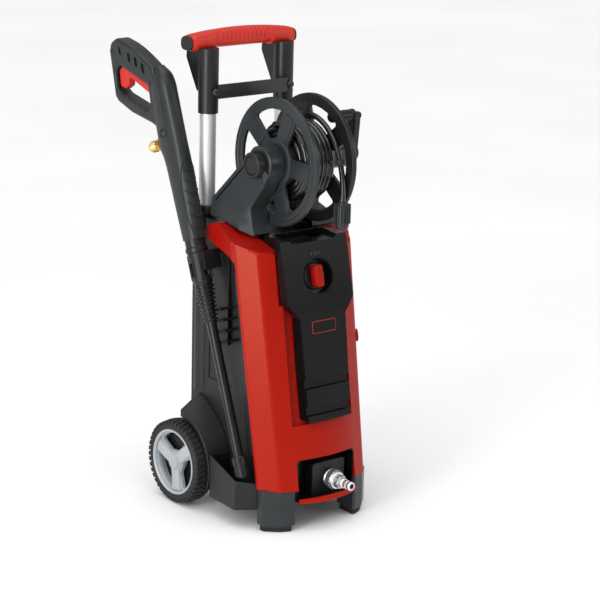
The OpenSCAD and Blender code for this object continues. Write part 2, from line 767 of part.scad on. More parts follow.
module cross_strap() {
    color([0.12, 0.12, 0.12]) place() difference() {
        along_x(-tube_x + 4, tube_x - 4) polygon([[148.5, 758], [148.5, 784], [151.5, 784], [151.5, 758]]);
        for (side = [-1, 1]) translate([side * tube_x, tube_y, 750]) cylinder(r = sleeve_r, h = 40, $fn = round_fn);
    }
    color([0.12, 0.12, 0.12]) place() for (side = [-1, 1])
        difference() {
            translate([side * tube_x, tube_y, 758]) cylinder(r = sleeve_r + 3, h = 26, $fn = round_fn);
            translate([side * tube_x, tube_y, 750]) cylinder(r = sleeve_r, h = 40, $fn = round_fn);
            translate([side * tube_x - 30, tube_y + 4, 750]) cube([60, 30, 40]);
        }
}

module strap_bolts() {
    color([0.15, 0.15, 0.16]) place() for (side = [-1, 1])
        translate([side * tube_x, tube_y - sleeve_r - 3, 771]) rotate([90, 0, 0])
            rotate_extrude($fn = 64) polygon([[0, 0], [7, 0], [6.4, 2.6], [4.4, 4.6], [0, 5.4]]);
}

// arched bar: middle stretch with its two lowered ends
module handle_grip() {
    color([0.8, 0.1, 0.07]) place() translate([0, grip_y, grip_z]) union() {
        x_cyl(11.8, -tube_x - 20, tube_x + 20, 64);
        intersection() {
            x_cyl(18.5, -tube_x + 16, tube_x - 16);
            translate([-150, -17, -17]) cube([300, 34, 40]);
        }
        for (side = [-1, 1]) mirrored(side) x_cyl(16.5, tube_x + 15, grip_half - 5);
    }
}

module grip_caps() {
    color([0.1, 0.1, 0.1]) place() translate([0, grip_y, grip_z])
        for (side = [-1, 1]) mirrored(side) x_cyl(15.5, grip_half - 5, grip_half);
}

// rotary switch: round base in the recess, bar handle and a shaft to the box
module switch_knob() {
    color([0.8, 0.08, 0.06]) place() on_knob() union() {
        translate([0, 0, -14.6]) cylinder(r = 24, h = 4, $fn = round_fn);
        translate([0, 0, -39.6]) cylinder(r = 6, h = 26, $fn = 48);
        translate([-9, -20, -11]) cube([18, 40, 16]);
    }
}

module gun_outline() {
    polygon([
        [-21, 408], [21, 408], [27, 547], [30, 568], [37, 580], [36, 604], [46, 624],
        [153, 698], [158, 706], [149, 784], [139, 798], [116, 804], [83, 789],
        [44, 763], [9, 731], [-6, 727], [-20, 715], [-27, 690], [-27, 500]
    ]);
}
module gun_gap() {
    polygon([
        [34, 650], [112, 697], [141, 715], [134, 750], [118, 755], [31, 697]
    ]);
}

module gun_half() {
    // half of the trigger's pin
    translate([0, trigger_pin[0], trigger_pin[1]]) x_cyl(2.45, 0, 9, 48);
    difference() {
        rotate([90, 0, 90]) linear_extrude(gun_t / 2) difference() {
            gun_outline();
            gun_gap();
        }
        // slot for the trigger, inside the grip
        translate([-8.6, 0, 0]) rotate([90, 0, 90]) linear_extrude(17.2)
            polygon([[10, 680], [30, 676], [60, 690], [144, 722], [140, 772], [108, 776], [10, 706]]);
        // chamber for the valve, inlet mouth and lance socket
        translate([-9, -12, 540]) cube([18, 24, 130]);
        translate([0, 0, 590]) rotate([-90, 0, 0]) cylinder(r = 9, h = 60, $fn = 64);
        translate([0, 0, 400]) cylinder(r = 12, h = 141, $fn = 64);
        translate([0, 4, 606]) x_cyl(6.5 + fit, -1, 60);
    }
}
module gun_shell_left() color([0.2, 0.22, 0.23]) place() on_gun() mirrored(-1) gun_half();
module gun_shell_right() color([0.2, 0.22, 0.23]) place() on_gun() gun_half();

// brass valve body with the hose inlet pointing to the rear
module gun_valve() {
    color([0.78, 0.6, 0.25]) place() on_gun() difference() {
        union() {
            translate([-9, -12, 541]) cube([18, 24, 54]);
            translate([0, 0, 590]) rotate([-90, 0, 0]) cylinder(r = 9, h = 50, $fn = 64);
            translate([0, 46, 590]) rotate([-90, 0, 0]) cylinder(r = 10.5, h = 22, $fn = 64);
        }
        translate([0, 12, 590]) rotate([-90, 0, 0]) cylinder(r = 3, h = 60, $fn = 48);
    }
}

module lance_coupling() {
    color([0.15, 0.16, 0.17]) place() on_gun() union() {
        translate([0, 0, saddle_top + 0.4]) cylinder(r = collar_r, h = 8, $fn = round_fn);
        translate([0, 0, 330]) cylinder(r = coupling_r, h = 78, $fn = round_fn);
        translate([0, 0, 405]) cylinder(r = 12, h = 60, $fn = 64);
    }
}

module lance_sleeve() {
    color([0.07, 0.07, 0.07]) place() on_gun() rotate_extrude($fn = 72) difference() {
        polygon([[0, 254], [11, 254], [18, 322], [18, 330], [0, 330]]);
        translate([0, 250]) square([lance_r, 60]);
        for (i = [0:8]) translate([9.9 + i * 0.76, 259 + i * 7.4]) square([8, 3.4]);
    }
}

module lance_tube() {
    color([0.2, 0.21, 0.22]) place() on_gun() difference() {
        translate([0, 0, 0]) cylinder(r = lance_r, h = 310, $fn = 64);
        translate([0, 0, -1]) cylinder(r = 5, h = 312, $fn = 48);
    }
}

// lever along the underside of the grip with a hooked end
module trigger() {
    color([0.8, 0.1, 0.07]) place() on_gun() difference() {
        translate([-8, 0, 0]) rotate([90, 0, 90]) linear_extrude(16) union() {
            polygon([
                [26, 683], [39, 679], [104, 719], [112, 712], [138, 718], [129, 746],
                [118, 750], [31, 696], [18, 697], [15, 687]
            ]);
            translate(trigger_pin) circle(r = 7, $fn = 48);
        }
        translate([0, trigger_pin[0], trigger_pin[1]]) x_cyl(2.5, -9, 9, 48);
    }
}

module lock_button() {
    color([0.25, 0.27, 0.28]) place() on_gun() translate([0, 4, 606])
        x_cyl(6.5, -gun_t / 2 - 1.5, gun_t / 2, 64);
}

// turns on the end of the lance tube
module nozzle() {
    color([0.12, 0.12, 0.12]) place() on_gun() difference() {
        translate([0, 0, -32]) cylinder(r = 13, h = 40, $fn = round_fn);
        translate([0, 0, -0.3]) cylinder(r = lance_r + fit, h = 10, $fn = 64);
        translate([0, 0, -33]) cylinder(r = 4, h = 40, $fn = 48);
        for (i = [0:11]) rotate([0, 0, i * 30]) translate([13.6, 0, -28])
            cylinder(r = 1.6, h = 26, $fn = 24);
    }
}

module detergent_dial() {
    color([0.78, 0.1, 0.08]) place() on_dial() union() {
        translate([0, 0, 0.3]) cylinder(r = dial_r, h = 5, $fn = 64);
        translate([0, 0, -9]) cylinder(r = 4, h = 10, $fn = 48);
    }
}

// straight-segment sweep of a round section along the route's own points
function unit(v) = v / norm(v);
function tangent(p, i) = unit(p[min(i + 1, len(p) - 1)] - p[max(i - 1, 0)]);
module hose_tube(p, r, n) {
    side = [1, 0, 0];
    rings = [
        for (i = [0:len(p) - 1]) let (t = tangent(p, i), u = unit(side - t * (side * t)), v = cross(t, u))
        for (k = [0:n - 1]) p[i] + r * (u * cos(k * 360 / n) + v * sin(k * 360 / n))
    ];
    walls = [
        for (i = [0:len(p) - 2], k = [0:n - 1]) let (a = i * n, b = a + n, m = (k + 1) % n)
        [a + k, b + k, b + m, a + m]
    ];
    last = (len(p) - 1) * n;
    ends = [[for (k = [0:n - 1]) k], [for (k = [n - 1:-1:0]) last + k]];
    polyhedron(rings, concat(walls, ends));
}
module hose_end() color([0.05, 0.05, 0.05]) place() hose_tube(hose_route, hose_d / 2, 12);

module hose_nut() {
    color([0.14, 0.15, 0.15]) place() translate([24, -82, 0]) union() {
        translate([0, 0, 560]) cylinder(r = 13.8, h = 36, $fn = 64);
        translate([0, 0, 596]) cylinder(r = 10, h = 2, $fn = 64);
        translate([0, 0, 551]) cylinder(r = 12.4, h = 9, $fn = 64);
    }
}

// clip that keeps the hose end beside the right flange
module hose_clip() {
    color([0.3, 0.31, 0.32]) place() translate([31.5, -63.6, 666]) rotate([-20, 0, 0]) difference() {
        union() {
            cylinder(r = 8, h = 10, center = true, $fn = 48);
            translate([-22, -3, -5]) cube([16, 6, 10]);
        }
        cylinder(r = hose_d / 2 + 0.3, h = 12, center = true, $fn = 48);
        translate([4.2, -10, -6]) cube([10, 20, 12]);
    }
}

red_shell();
rear_housing();
base_chassis();
side_pockets();
fender_left();
fender_right();
front_leg_left();
front_leg_right();
foot_pads();
front_panel();
top_tray();
inlet_block();
inlet_nut();
axle();
bracket_left();
bracket_right();
bracket_cap();
tube_collars();
gun_holder();
cable_gland();
motor_housing();
pump_head();
pump_pistons();
pressure_pipe();
switch_box();
tyre_left();
rim_left();
hub_cap_left();
tyre_right();
rim_right();
hub_cap_right();
reel_drum();
flange_left();
flange_right();
crank_arm();
hose_coil();
crank_knob();
tube_left();
tube_right();
sleeve_left();
sleeve_right();
cross_strap();
strap_bolts();
handle_grip();
grip_caps();
switch_knob();
gun_shell_left();
gun_shell_right();
gun_valve();
lance_coupling();
lance_sleeve();
lance_tube();
trigger();
lock_button();
nozzle();
detergent_dial();
motor_rotor();
hose_end();
hose_nut();
hose_clip();
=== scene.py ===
"""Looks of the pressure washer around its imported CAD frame. Lengths are millimetres in the
drawing frame of the part, and piece() turns them into metres in the row frame."""

import json
from math import atan, atan2, copysign, cos, degrees, hypot, pi, radians, sin, sqrt, tan, tau

import bmesh
import bpy
from mathutils import Matrix, Vector


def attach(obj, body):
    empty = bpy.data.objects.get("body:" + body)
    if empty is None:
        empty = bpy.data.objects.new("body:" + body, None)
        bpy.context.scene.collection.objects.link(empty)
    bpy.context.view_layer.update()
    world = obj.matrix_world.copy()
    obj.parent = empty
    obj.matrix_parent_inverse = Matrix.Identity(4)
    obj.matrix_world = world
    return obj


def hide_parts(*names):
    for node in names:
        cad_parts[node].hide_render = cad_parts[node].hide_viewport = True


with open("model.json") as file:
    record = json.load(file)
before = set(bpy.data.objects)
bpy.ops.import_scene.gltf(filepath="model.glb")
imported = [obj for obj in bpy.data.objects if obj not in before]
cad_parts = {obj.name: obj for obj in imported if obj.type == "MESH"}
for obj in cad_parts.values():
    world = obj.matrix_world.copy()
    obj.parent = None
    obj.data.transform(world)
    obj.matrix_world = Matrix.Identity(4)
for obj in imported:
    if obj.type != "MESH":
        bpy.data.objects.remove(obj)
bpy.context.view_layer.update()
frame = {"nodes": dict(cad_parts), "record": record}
NODES = frame["nodes"]
Y_SHIFT = -131.8        # from the drawing frame to the row frame
SLOTS = {s["node"]: s["material_slot"] for s in frame["record"]["subparts"]}

# ------------------------ camera
DISTANCE, LENS, SENSOR, FAR_CLIP = 3.9244, 129.87, 36, 50     # m, mm, mm, m
azimuth, elevation, roll = (radians(a) for a in (-39.525, 15.135, 1.405))
target = Vector((-0.18, 0.34 + Y_SHIFT, 404.8)) / 1000
back = Vector((
    sin(azimuth) * cos(elevation), -cos(azimuth) * cos(elevation), sin(elevation)
))
right = Vector((cos(azimuth), sin(azimuth), 0))
up = back.cross(right)
axes = (right * cos(roll) + up * sin(roll), up * cos(roll) - right * sin(roll), back)
camera = bpy.data.objects.new("camera", bpy.data.cameras.new("camera"))
camera.data.lens, camera.data.sensor_width, camera.data.clip_end = LENS, SENSOR, FAR_CLIP
camera.matrix_world = Matrix.Translation(target + back * DISTANCE) @ Matrix(axes).transposed().to_4x4()
bpy.context.collection.objects.link(camera)
bpy.context.scene.camera = camera


# ------------------------ materials
MATERIALS = {}


def material(name, dark, light, rough, patch, grain, depth, metallic=0.0, coat=0.0, specular=0.5,
             stretch=(1, 1, 1), **sockets):
    """Two shades mixed by a soft noise, a roughness range, and a moulded or drawn grain as bump.
    patch and grain are sizes in mm, depth is the grain's height in mm."""
    mat = bpy.data.materials.new(name)
    mat.use_nodes = True
    tree = mat.node_tree
    shader = tree.nodes["Principled BSDF"]
    link = tree.links.new

    def node(kind, **values):
        made = tree.nodes.new("ShaderNode" + kind)
        for key, value in values.items():
            made.inputs[key.replace("_", " ")].default_value = value
        return made

    place = tree.nodes.new("ShaderNodeTexCoord")
    scaled = node("Mapping")
    scaled.inputs["Scale"].default_value = stretch
    link(place.outputs["Object"], scaled.inputs["Vector"])
    soft = node("TexNoise", Scale=1000 / patch, Detail=4.0, Roughness=0.55)
    fine = node("TexNoise", Scale=1000 / grain, Detail=2.0, Roughness=0.6)
    for texture in (soft, fine):
        link(scaled.outputs["Vector"], texture.inputs["Vector"])
    ramp = tree.nodes.new("ShaderNodeValToRGB")
    ramp.color_ramp.elements[0].position, ramp.color_ramp.elements[1].position = 0.35, 0.68
    ramp.color_ramp.elements[0].color = (*dark, 1)
    ramp.color_ramp.elements[1].color = (*light, 1)
    link(soft.outputs["Fac"], ramp.inputs["Fac"])
    link(ramp.outputs["Color"], shader.inputs["Base Color"])
    spread = node("MapRange", From_Min=0.3, From_Max=0.7, To_Min=rough[0], To_Max=rough[1])
    link(soft.outputs["Fac"], spread.inputs["Value"])
    link(spread.outputs["Result"], shader.inputs["Roughness"])
    bump = node("Bump", Strength=1.0, Distance=depth / 1000)
    link(fine.outputs["Fac"], bump.inputs["Height"])
    link(bump.outputs["Normal"], shader.inputs["Normal"])
    shader.inputs["Metallic"].default_value = metallic
    shader.inputs["Coat Weight"].default_value = coat
    shader.inputs["Coat Roughness"].default_value = 0.08
    shader.inputs["Specular IOR Level"].default_value = specular
    for key, value in sockets.items():
        shader.inputs[key.replace("_", " ")].default_value = value
    MATERIALS[name] = mat
    return mat


# name, dark and light shade, roughness, then patch, grain and depth
material("red_gloss", (0.295, 0.005, 0.0022), (0.32, 0.006, 0.0026), (0.24, 0.28), 400, 2.5, 0.003,
         specular=0.22, Specular_Tint=(1, 0.6, 0.4, 1))
material("red_grip", (0.47, 0.017, 0.007), (0.53, 0.022, 0.009), (0.38, 0.46), 50, 0.8, 0.02, specular=0.35)
material("black_housing", (0.0085, 0.0088, 0.009), (0.0135, 0.014, 0.0145), (0.4, 0.52), 80, 0.9, 0.05,
         specular=0.3)
material("panel_black", (0.0024, 0.0024, 0.0025), (0.004, 0.0041, 0.0042), (0.24, 0.31), 90, 1.1, 0.012,
         specular=0.18)
material("black_plastic", (0.005, 0.0052, 0.0054), (0.0085, 0.0088, 0.009), (0.32, 0.42), 60, 0.8, 0.03,
         specular=0.34)
material("grey_plastic", (0.015, 0.0185, 0.02), (0.0215, 0.0255, 0.0275), (0.3, 0.38), 70, 0.8, 0.04,
         specular=0.34)
material("gun_grey", (0.0125, 0.015, 0.0162), (0.0185, 0.0215, 0.023), (0.36, 0.46), 60, 0.8, 0.04,
         specular=0.34)
material("rubber", (0.008, 0.008, 0.008), (0.014, 0.014, 0.014), (0.62, 0.75), 40, 0.7, 0.05, specular=0.3)
material("tyre", (0.0075, 0.0075, 0.0078), (0.015, 0.015, 0.015), (0.5, 0.66), 30, 0.7, 0.06, specular=0.35)
material("hose_rubber", (0.0045, 0.0045, 0.0048), (0.0085, 0.0085, 0.0088), (0.16, 0.24), 30, 0.5, 0.02,
         coat=0.3)
material("light_rim", (0.3, 0.325, 0.345), (0.36, 0.385, 0.405), (0.34, 0.44), 50, 0.9, 0.03)
material("tube_aluminium", (0.56, 0.57, 0.58), (0.63, 0.64, 0.65), (0.42, 0.48), 40, 0.35, 0.004,
         metallic=0.6, stretch=(1, 1, 0.05))
material("cast_aluminium", (0.4, 0.4, 0.41), (0.52, 0.52, 0.53), (0.45, 0.6), 20, 0.8, 0.1, metallic=1.0)
material("steel", (0.42, 0.43, 0.44), (0.55, 0.56, 0.57), (0.25, 0.36), 20, 0.4, 0.01, metallic=1.0)
material("brass", (0.55, 0.33, 0.09), (0.66, 0.42, 0.14), (0.26, 0.36), 12, 0.4, 0.01, metallic=1.0)
material("inlet_metal", (0.74, 0.75, 0.76), (0.84, 0.85, 0.86), (0.34, 0.42), 10, 0.5, 0.008, metallic=1.0)
material("black_metal", (0.0085, 0.0085, 0.009), (0.015, 0.015, 0.016), (0.3, 0.4), 40, 0.6, 0.03, coat=0.15)
material("lance_dark", (0.004, 0.0045, 0.0048), (0.007, 0.0078, 0.0082), (0.26, 0.34), 30, 0.6, 0.02,
         specular=0.32)
material("mark_white", (0.045, 0.045, 0.045), (0.06, 0.06, 0.06), (0.4, 0.5), 10, 0.5, 0.01)


# ------------------------ mesh tools
MERGE = 0.02        # vertices that are nearer than this become one
IDENTITY = Matrix.Identity(4)
ALONG_X = Matrix(((0, 0, 1, 0), (1, 0, 0, 0), (0, 1, 0, 0), (0, 0, 0, 1)))     # outline y, z
ALONG_Y = Matrix(((1, 0, 0, 0), (0, 0, -1, 0), (0, 1, 0, 0), (0, 0, 0, 1)))    # outline x, z, depth -y
ROUND_X = Matrix.Rotation(pi / 2, 4, "Y")                                      # lathe axis along x


def at(x, y, z):
    return Matrix.Translation((x, y, z))


def turn(angle, axis):
    return Matrix.Rotation(radians(angle), 4, axis)


def flip(side):
    return Matrix.Diagonal((side, 1, 1, 1))


SIDES = ((-1, "left"), (1, "right"))
REEL_Y, REEL_Z = 24.3, 660              # the reel's axis runs along x
AXLE_Y, AXLE_Z, WHEEL_X = 165, 80, 122  # wheel axis, and the inner face of the right wheel
TUBE_X, TUBE_Y = 86.4, 170              # middle of the right handle tube
LOCK_Y, LOCK_Z = 4, 606                 # the lock button's axis in the gun's own frame
LEAN_ANGLE, LEAN_Z = 9, 80              # how far the shell leans to the rear, and from which height
LEAN = at(0, 0, LEAN_Z) @ turn(-LEAN_ANGLE, "X")
PANEL_LEAN = degrees(atan((64.5 - 31.7) / (528 - 402)))
KNOB = at(0, -64.5 + 59 * tan(radians(PANEL_LEAN)), 461) @ turn(90 - PANEL_LEAN, "X")
DIAL = LEAN @ at(107, -63.8, 240) @ turn(degrees(atan2(-23, 35)), "Z") @ turn(90, "Y")
REEL = at(0, REEL_Y, REEL_Z)
AXLE = at(0, AXLE_Y, AXLE_Z)
LOCK = at(0, LOCK_Y, LOCK_Z) @ ROUND_X
GUN = at(-134.5, -1.8, 125.3) @ turn(-0.75, "Y") @ turn(-19.6, "X")


def fillet(points, radius, steps=4, closed=True):
    """The outline with rounded corners; a point may carry its own radius as a third number."""
    out, n = [], len(points)
    for i, p in enumerate(points):
        r = p[2] if len(p) > 2 else radius
        corner = Vector(p[:2])
        if r <= 0 or (not closed and i in (0, n - 1)):
            out.append(tuple(corner))
            continue
        a, b = Vector(points[i - 1][:2]) - corner, Vector(points[(i + 1) % n][:2]) - corner
        half = a.angle(b) / 2
        if half > 1.54:
            out.append(tuple(corner))
            continue
        reach = min(r / tan(half), 0.46 * a.length, 0.46 * b.length)
        r = reach * tan(half)
        middle = corner + (a.normalized() + b.normalized()).normalized() * (r / sin(half))
        s, e = corner + a.normalized() * reach - middle, corner + b.normalized() * reach - middle
        a0 = atan2(s.y, s.x)
        sweep = (atan2(e.y, e.x) - a0 + pi) % (2 * pi) - pi
        for k in range(steps + 1):
            t = a0 + sweep * k / steps
            out.append((middle.x + r * cos(t), middle.y + r * sin(t)))
    return out


def circle(r, n):
    return [(r * cos(2 * pi * k / n), r * sin(2 * pi * k / n)) for k in range(n)]


def plate(outline, low, high, rim=1.5, holes=(), steps=3):
    """A flat plate between z = low and high with rounded rims, holes included."""
    curve = bpy.data.curves.new("tmp", "CURVE")
    curve.dimensions, curve.fill_mode = "2D", "BOTH"
    rim = min(rim, (high - low) / 2 - 0.01)
    curve.extrude, curve.bevel_depth, curve.offset = (high - low) / 2 - rim, rim, -rim
    curve.bevel_resolution = steps
    for loop in (outline, *holes):
        spline = curve.splines.new("POLY")
        spline.points.add(len(loop) - 1)
        for point, p in zip(spline.points, loop):
            point.co = (p[0], p[1], 0, 1)
        spline.use_cyclic_u = True
    mesh = bpy.data.meshes.new_from_object(bpy.data.objects.new("tmp", curve))
    bm = bmesh.new()
    bm.from_mesh(mesh)
    bmesh.ops.remove_doubles(bm, verts=bm.verts, dist=1e-3)
    bm.transform(at(0, 0, (low + high) / 2))
    return bm


def block(outline, low, high, rim=0.0, steps=3):
    """A plain prism between z = low and high; every edge is rounded by rim."""
    bm = bmesh.new()
    floor = [bm.verts.new((x, y, low)) for x, y in outline]
    roof = [bm.verts.new((x, y, high)) for x, y in outline]
    bm.faces.new(floor[::-1])
    bm.faces.new(roof)
    for i in range(len(outline)):
        j = (i + 1) % len(outline)
        bm.faces.new((floor[i], floor[j], roof[j], roof[i]))
    bmesh.ops.recalc_face_normals(bm, faces=bm.faces)
    return ease(bm, rim, steps) if rim else bm


def box(x0, x1, y0, y1, z0, z1, rim=0.0, steps=3):
    return block([(x0, y0), (x1, y0), (x1, y1), (x0, y1)], z0, z1, rim, steps)


def lathe(profile, n=72, closed=False):
    """A turned form about z from (radius, z) points; closed joins the last point to the first."""
    bm, rings = bmesh.new(), []
    for r, z in profile:
        if r < 1e-6:
            rings.append([bm.verts.new((0, 0, z))])
        else:
            angles = [k * tau / n for k in range(n)]
            rings.append([bm.verts.new((r * cos(a), r * sin(a), z)) for a in angles])
    for a, b in zip(rings, rings[1:] + ([rings[0]] if closed else [])):
        for k in range(n):
            m = (k + 1) % n
            if len(a) == 1 and len(b) == 1:
                continue
            if len(a) == 1:
                bm.faces.new((a[0], b[m], b[k]))
            elif len(b) == 1:
                bm.faces.new((a[k], a[m], b[0]))
            else:
                bm.faces.new((a[k], a[m], b[m], b[k]))
    bmesh.ops.recalc_face_normals(bm, faces=bm.faces)
    return bm


def turned(profile, radius=1.0, n=72, steps=3, closed=False):
    return lathe(fillet(profile, radius, steps, closed), n, closed)


def rod(radius, low, high, n=64, rim=0.0):
    """A solid round bar about z, its ends rounded by rim."""
    profile = [(0, low), (radius, low), (radius, high), (0, high)]
    return turned(profile, rim, n) if rim else lathe(profile, n)


def pipe(inner, outer, low, high, n=64, rim=0.0, steps=3):
    """A round wall about z, its four edges rounded by rim."""
    profile = [(inner, low), (outer, low), (outer, high), (inner, high)]
    return turned(profile, rim, n, steps, True) if rim else lathe(profile, n, True)


def smooth_step(t):
    t = max(0.0, min(1.0, t))
    return t * t * (3 - 2 * t)


def along_edge(edge, w):
    for (w0, v0), (w1, v1) in zip(edge, edge[1:]):
        if w <= w1:
            return v0 + (v1 - v0) * (w - w0) / (w1 - w0)
    return edge[-1][1]


def loft(rings):
    """A closed skin over rings with the same number of points."""
    bm, n = bmesh.new(), len(rings[0])
    rows = [[bm.verts.new(p) for p in ring] for ring in rings]
    for a, b in zip(rows, rows[1:]):
        for k in range(n):
            bm.faces.new((a[k], a[(k + 1) % n], b[(k + 1) % n], b[k]))
    bm.faces.new(rows[0][::-1])
    bm.faces.new(rows[-1])
    bmesh.ops.recalc_face_normals(bm, faces=bm.faces)
    return bm


def bevelled(bm, edges, width, steps, clamp=True):
    bmesh.ops.bevel(bm, geom=edges, offset=width, segments=steps, profile=0.5, affect="EDGES",
                    clamp_overlap=clamp)
    return bm


def ease(bm, width, steps=3, angle=28, clamp=True):
    """Rounds every edge that is sharper than angle."""
    sharp = [e for e in bm.edges if len(e.link_faces) == 2 and e.calc_face_angle(0) > radians(angle)]
    return bevelled(bm, sharp, width, steps, clamp)


def moved(bm, matrix):
    bm.transform(matrix)
    return bm


def across(outline, low, high, rim=0.0, steps=3):
    """A prism over an outline of y and z, between x = low and high."""
    return moved(block(outline, low, high, rim, steps), ALONG_X)


def upright(outline, near, far, rim=0.0, steps=3):
    """A prism over an outline of x and z, between y = -near and -far."""
    return moved(block(outline, near, far, rim, steps), ALONG_Y)


def rectangle(x0, x1, y0, y1, radius, steps):
    return fillet([(x0, y0), (x1, y0), (x1, y1), (x0, y1)], radius, steps)


def around(bm, count, axis="Z"):
    """Copies of bm, spread evenly round the axis."""
    return [moved(bm.copy(), turn(k * 360 / count, axis)) for k in range(count)]


def sector(radius, angles, end_radius):
    """Points of an arc about the origin, from the top; its two ends carry end_radius for fillet()."""
    points = []
    for a in angles:
        corner = end_radius if a in (angles[0], angles[-1]) else 0
        points.append((radius * sin(radians(a)), radius * cos(radians(a)), corner))
    return points


def joined(parts):
    whole = bmesh.new()
    for bm in parts:
        mesh = bpy.data.meshes.new("tmp")
        bm.to_mesh(mesh)
        bm.free()
        whole.from_mesh(mesh)
        bpy.data.meshes.remove(mesh)
    return whole


def boolean(bm, others, how="DIFFERENCE"):
    """bm cut by, joined with or kept inside the other closed meshes, one after another."""
    objects = []
    for each in (bm, *others):
        bmesh.ops.recalc_face_normals(each, faces=each.faces)
        mesh = bpy.data.meshes.new("tmp")
        each.to_mesh(mesh)
        each.free()
        objects.append(bpy.data.objects.new("tmp", mesh))
        bpy.context.collection.objects.link(objects[-1])
    for other in objects[1:]:
        modifier = objects[0].modifiers.new("b", "BOOLEAN")
        modifier.object, modifier.operation, modifier.solver = other, how, "EXACT"
    depsgraph = bpy.context.evaluated_depsgraph_get()
    depsgraph.update()
    mesh = bpy.data.meshes.new_from_object(objects[0].evaluated_get(depsgraph))
    out = bmesh.new()
    out.from_mesh(mesh)
    for each in objects:
        bpy.data.objects.remove(each)
    bmesh.ops.remove_doubles(out, verts=out.verts, dist=MERGE)
    bmesh.ops.dissolve_limit(out, angle_limit=radians(0.4), verts=out.verts, edges=out.edges)
    return out


def piece(name, parts, body, slot, place=IDENTITY, replaces=(), angle=32):
    """One finished object from bmeshes in mm, riding on a body."""
    bm = joined(parts if isinstance(parts, list) else [parts])
    bm.transform(place)
    bmesh.ops.recalc_face_normals(bm, faces=bm.faces)
    bm.transform(Matrix.Scale(0.001, 4) @ at(0, Y_SHIFT, 0))
    bmesh.ops.triangulate(bm, faces=[f for f in bm.faces if len(f.verts) > 4])
    mesh = bpy.data.meshes.new(name)
    bm.to_mesh(mesh)
    bm.free()
    for polygon in mesh.polygons:
        polygon.use_smooth = True
    mesh.set_sharp_from_angle(angle=radians(angle))
    made = bpy.data.objects.new(name, mesh)
    bpy.context.collection.objects.link(made)
    weighted = made.modifiers.new("normals", "WEIGHTED_NORMAL")
    weighted.keep_sharp, weighted.weight = True, 80
    mesh.materials.append(MATERIALS[slot])
    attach(made, body)
    if replaces:
        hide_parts(*replaces)
    return made


def finish(node, parts, body, slot, place=IDENTITY):
    """The finished look of one CAD node, named after it."""
    return piece(node + "_finish", parts, body, slot, place, (node,))


def eased_copy(node, body, width=0.8, steps=2):
    """The CAD node's own form with softened edges."""
    bm = bmesh.new()
    bm.from_mesh(NODES[node].data)
    bm.transform(at(0, -Y_SHIFT, 0) @ Matrix.Scale(1000, 4))
    bmesh.ops.remove_doubles(bm, verts=bm.verts, dist=MERGE)
    bmesh.ops.dissolve_limit(bm, angle_limit=radians(0.5), verts=bm.verts, edges=bm.edges)
    return finish(node, ease(bm, width, steps, 34, clamp=False), body, SLOTS[node])


def tube(path, radius, n=12):
    """A round tube along points, with frames carried smoothly from ring to ring."""
    rings, side = [], None
    for i, p in enumerate(path):
        along = (path[min(i + 1, len(path) - 1)] - path[max(i - 1, 0)]).normalized()
        side = (side - along * side.dot(along)).normalized() if side else along.orthogonal().normalized()
        other = along.cross(side)
        angles = [k * tau / n for k in range(n)]
        rings.append([p + radius * (side * cos(a) + other * sin(a)) for a in angles])
    return loft(rings)


def smooth_line(points, spacing):
    """A Catmull-Rom line through the points, about spacing apart."""
    points = [Vector(p) for p in points]
    ends = [2 * points[0] - points[1], *points, 2 * points[-1] - points[-2]]
    out = []
    for i in range(1, len(ends) - 2):
        a, b, c, d = ends[i - 1:i + 3]
        steps = max(2, round((c - b).length / spacing))
        for k in range(steps):
            t = k / steps
            bend = (2 * a - 5 * b + 4 * c - d) * t * t + (3 * b - a - 3 * c + d) * t ** 3
            out.append(0.5 * (2 * b + (c - a) * t + bend))
    return out + [points[-1]]


# ------------------------ pressure hose
HOSE_D, HOSE_X = 10.2, 31.5             # hose thickness, and where it leaves the coil
TURNS, STEPS_PER_TURN, COIL_HALF = 6.6, 30, 31.2
LEAVE_R = 79.5                          # radius on which the hose leaves the coil
# the wound hose, three layers
wound = []
for layer, radius in enumerate((50.4, 59.1, 67.8)):
    for k in range(int(TURNS * STEPS_PER_TURN) + 1):
        share = k / (TURNS * STEPS_PER_TURN)
        sideways = (share * 2 - 1) * COIL_HALF * (1 if layer % 2 == 0 else -1)
        angle = (layer * TURNS + share * TURNS) * tau
        wound.append(Vector((sideways, REEL_Y + radius * cos(angle), REEL_Z + radius * sin(angle))))
coil = piece("hose_wound", tube(wound, HOSE_D / 2, 12), "reel", "hose_rubber", replaces=("hose_coil",))

# the free end, over the coil's front and down to the parked nut
behind_coil = [(HOSE_X, REEL_Y + y, REEL_Z + z) for y, z, _ in sector(LEAVE_R, range(105, 14, -15), 0)]
over_front = [(24, 739.5), (12, 738.5), (-2, 735), (-15, 729), (-28, 720), (-38, 710), (-47, 699),
              (-55, 686), (-61, 673), (-66, 659)]
to_nut = [(30.8, -70.5, 645), (29.2, -75, 630), (27, -78.8, 616), (24.8, -81.3, 606), (24, -82, 599)]
route = smooth_line([*behind_coil, *((HOSE_X, y, z) for y, z in over_front), *to_nut], 4)
free_end = piece("hose_free_end", tube(route, HOSE_D / 2, 16), "root", "hose_rubber", replaces=("hose_end",))
nut = turned([(0, 551), (10.8, 551), (12.2, 555), (12.8, 561), (12.8, 594), (12, 596), (9.5, 596.4),
              (9.5, 599), (0, 599)], 0.8, 64)
ribs = around(box(11.8, 15.2, -1.2, 1.2, 561, 595.4, 0.7, 2), 18)
hose_nut = piece("hose_nut_fluted", [nut, *ribs], "root", "grey_plastic", at(*to_nut[-1][:2], 0),
                 ("hose_nut",))
clip = boolean(rod(8, -5, 5, 48, 0.8), [box(-5.4, 5.4, -5.4, 5.4, -9, 9), box(4.2, 15, -10, 10, -9, 9)])
hose_clip = finish("hose_clip", [clip, box(-22, -6.5, -3, 3, -5, 5, 0.8)], "root", "grey_plastic",
                   at(HOSE_X, -63.6, 666) @ turn(-20, "X"))

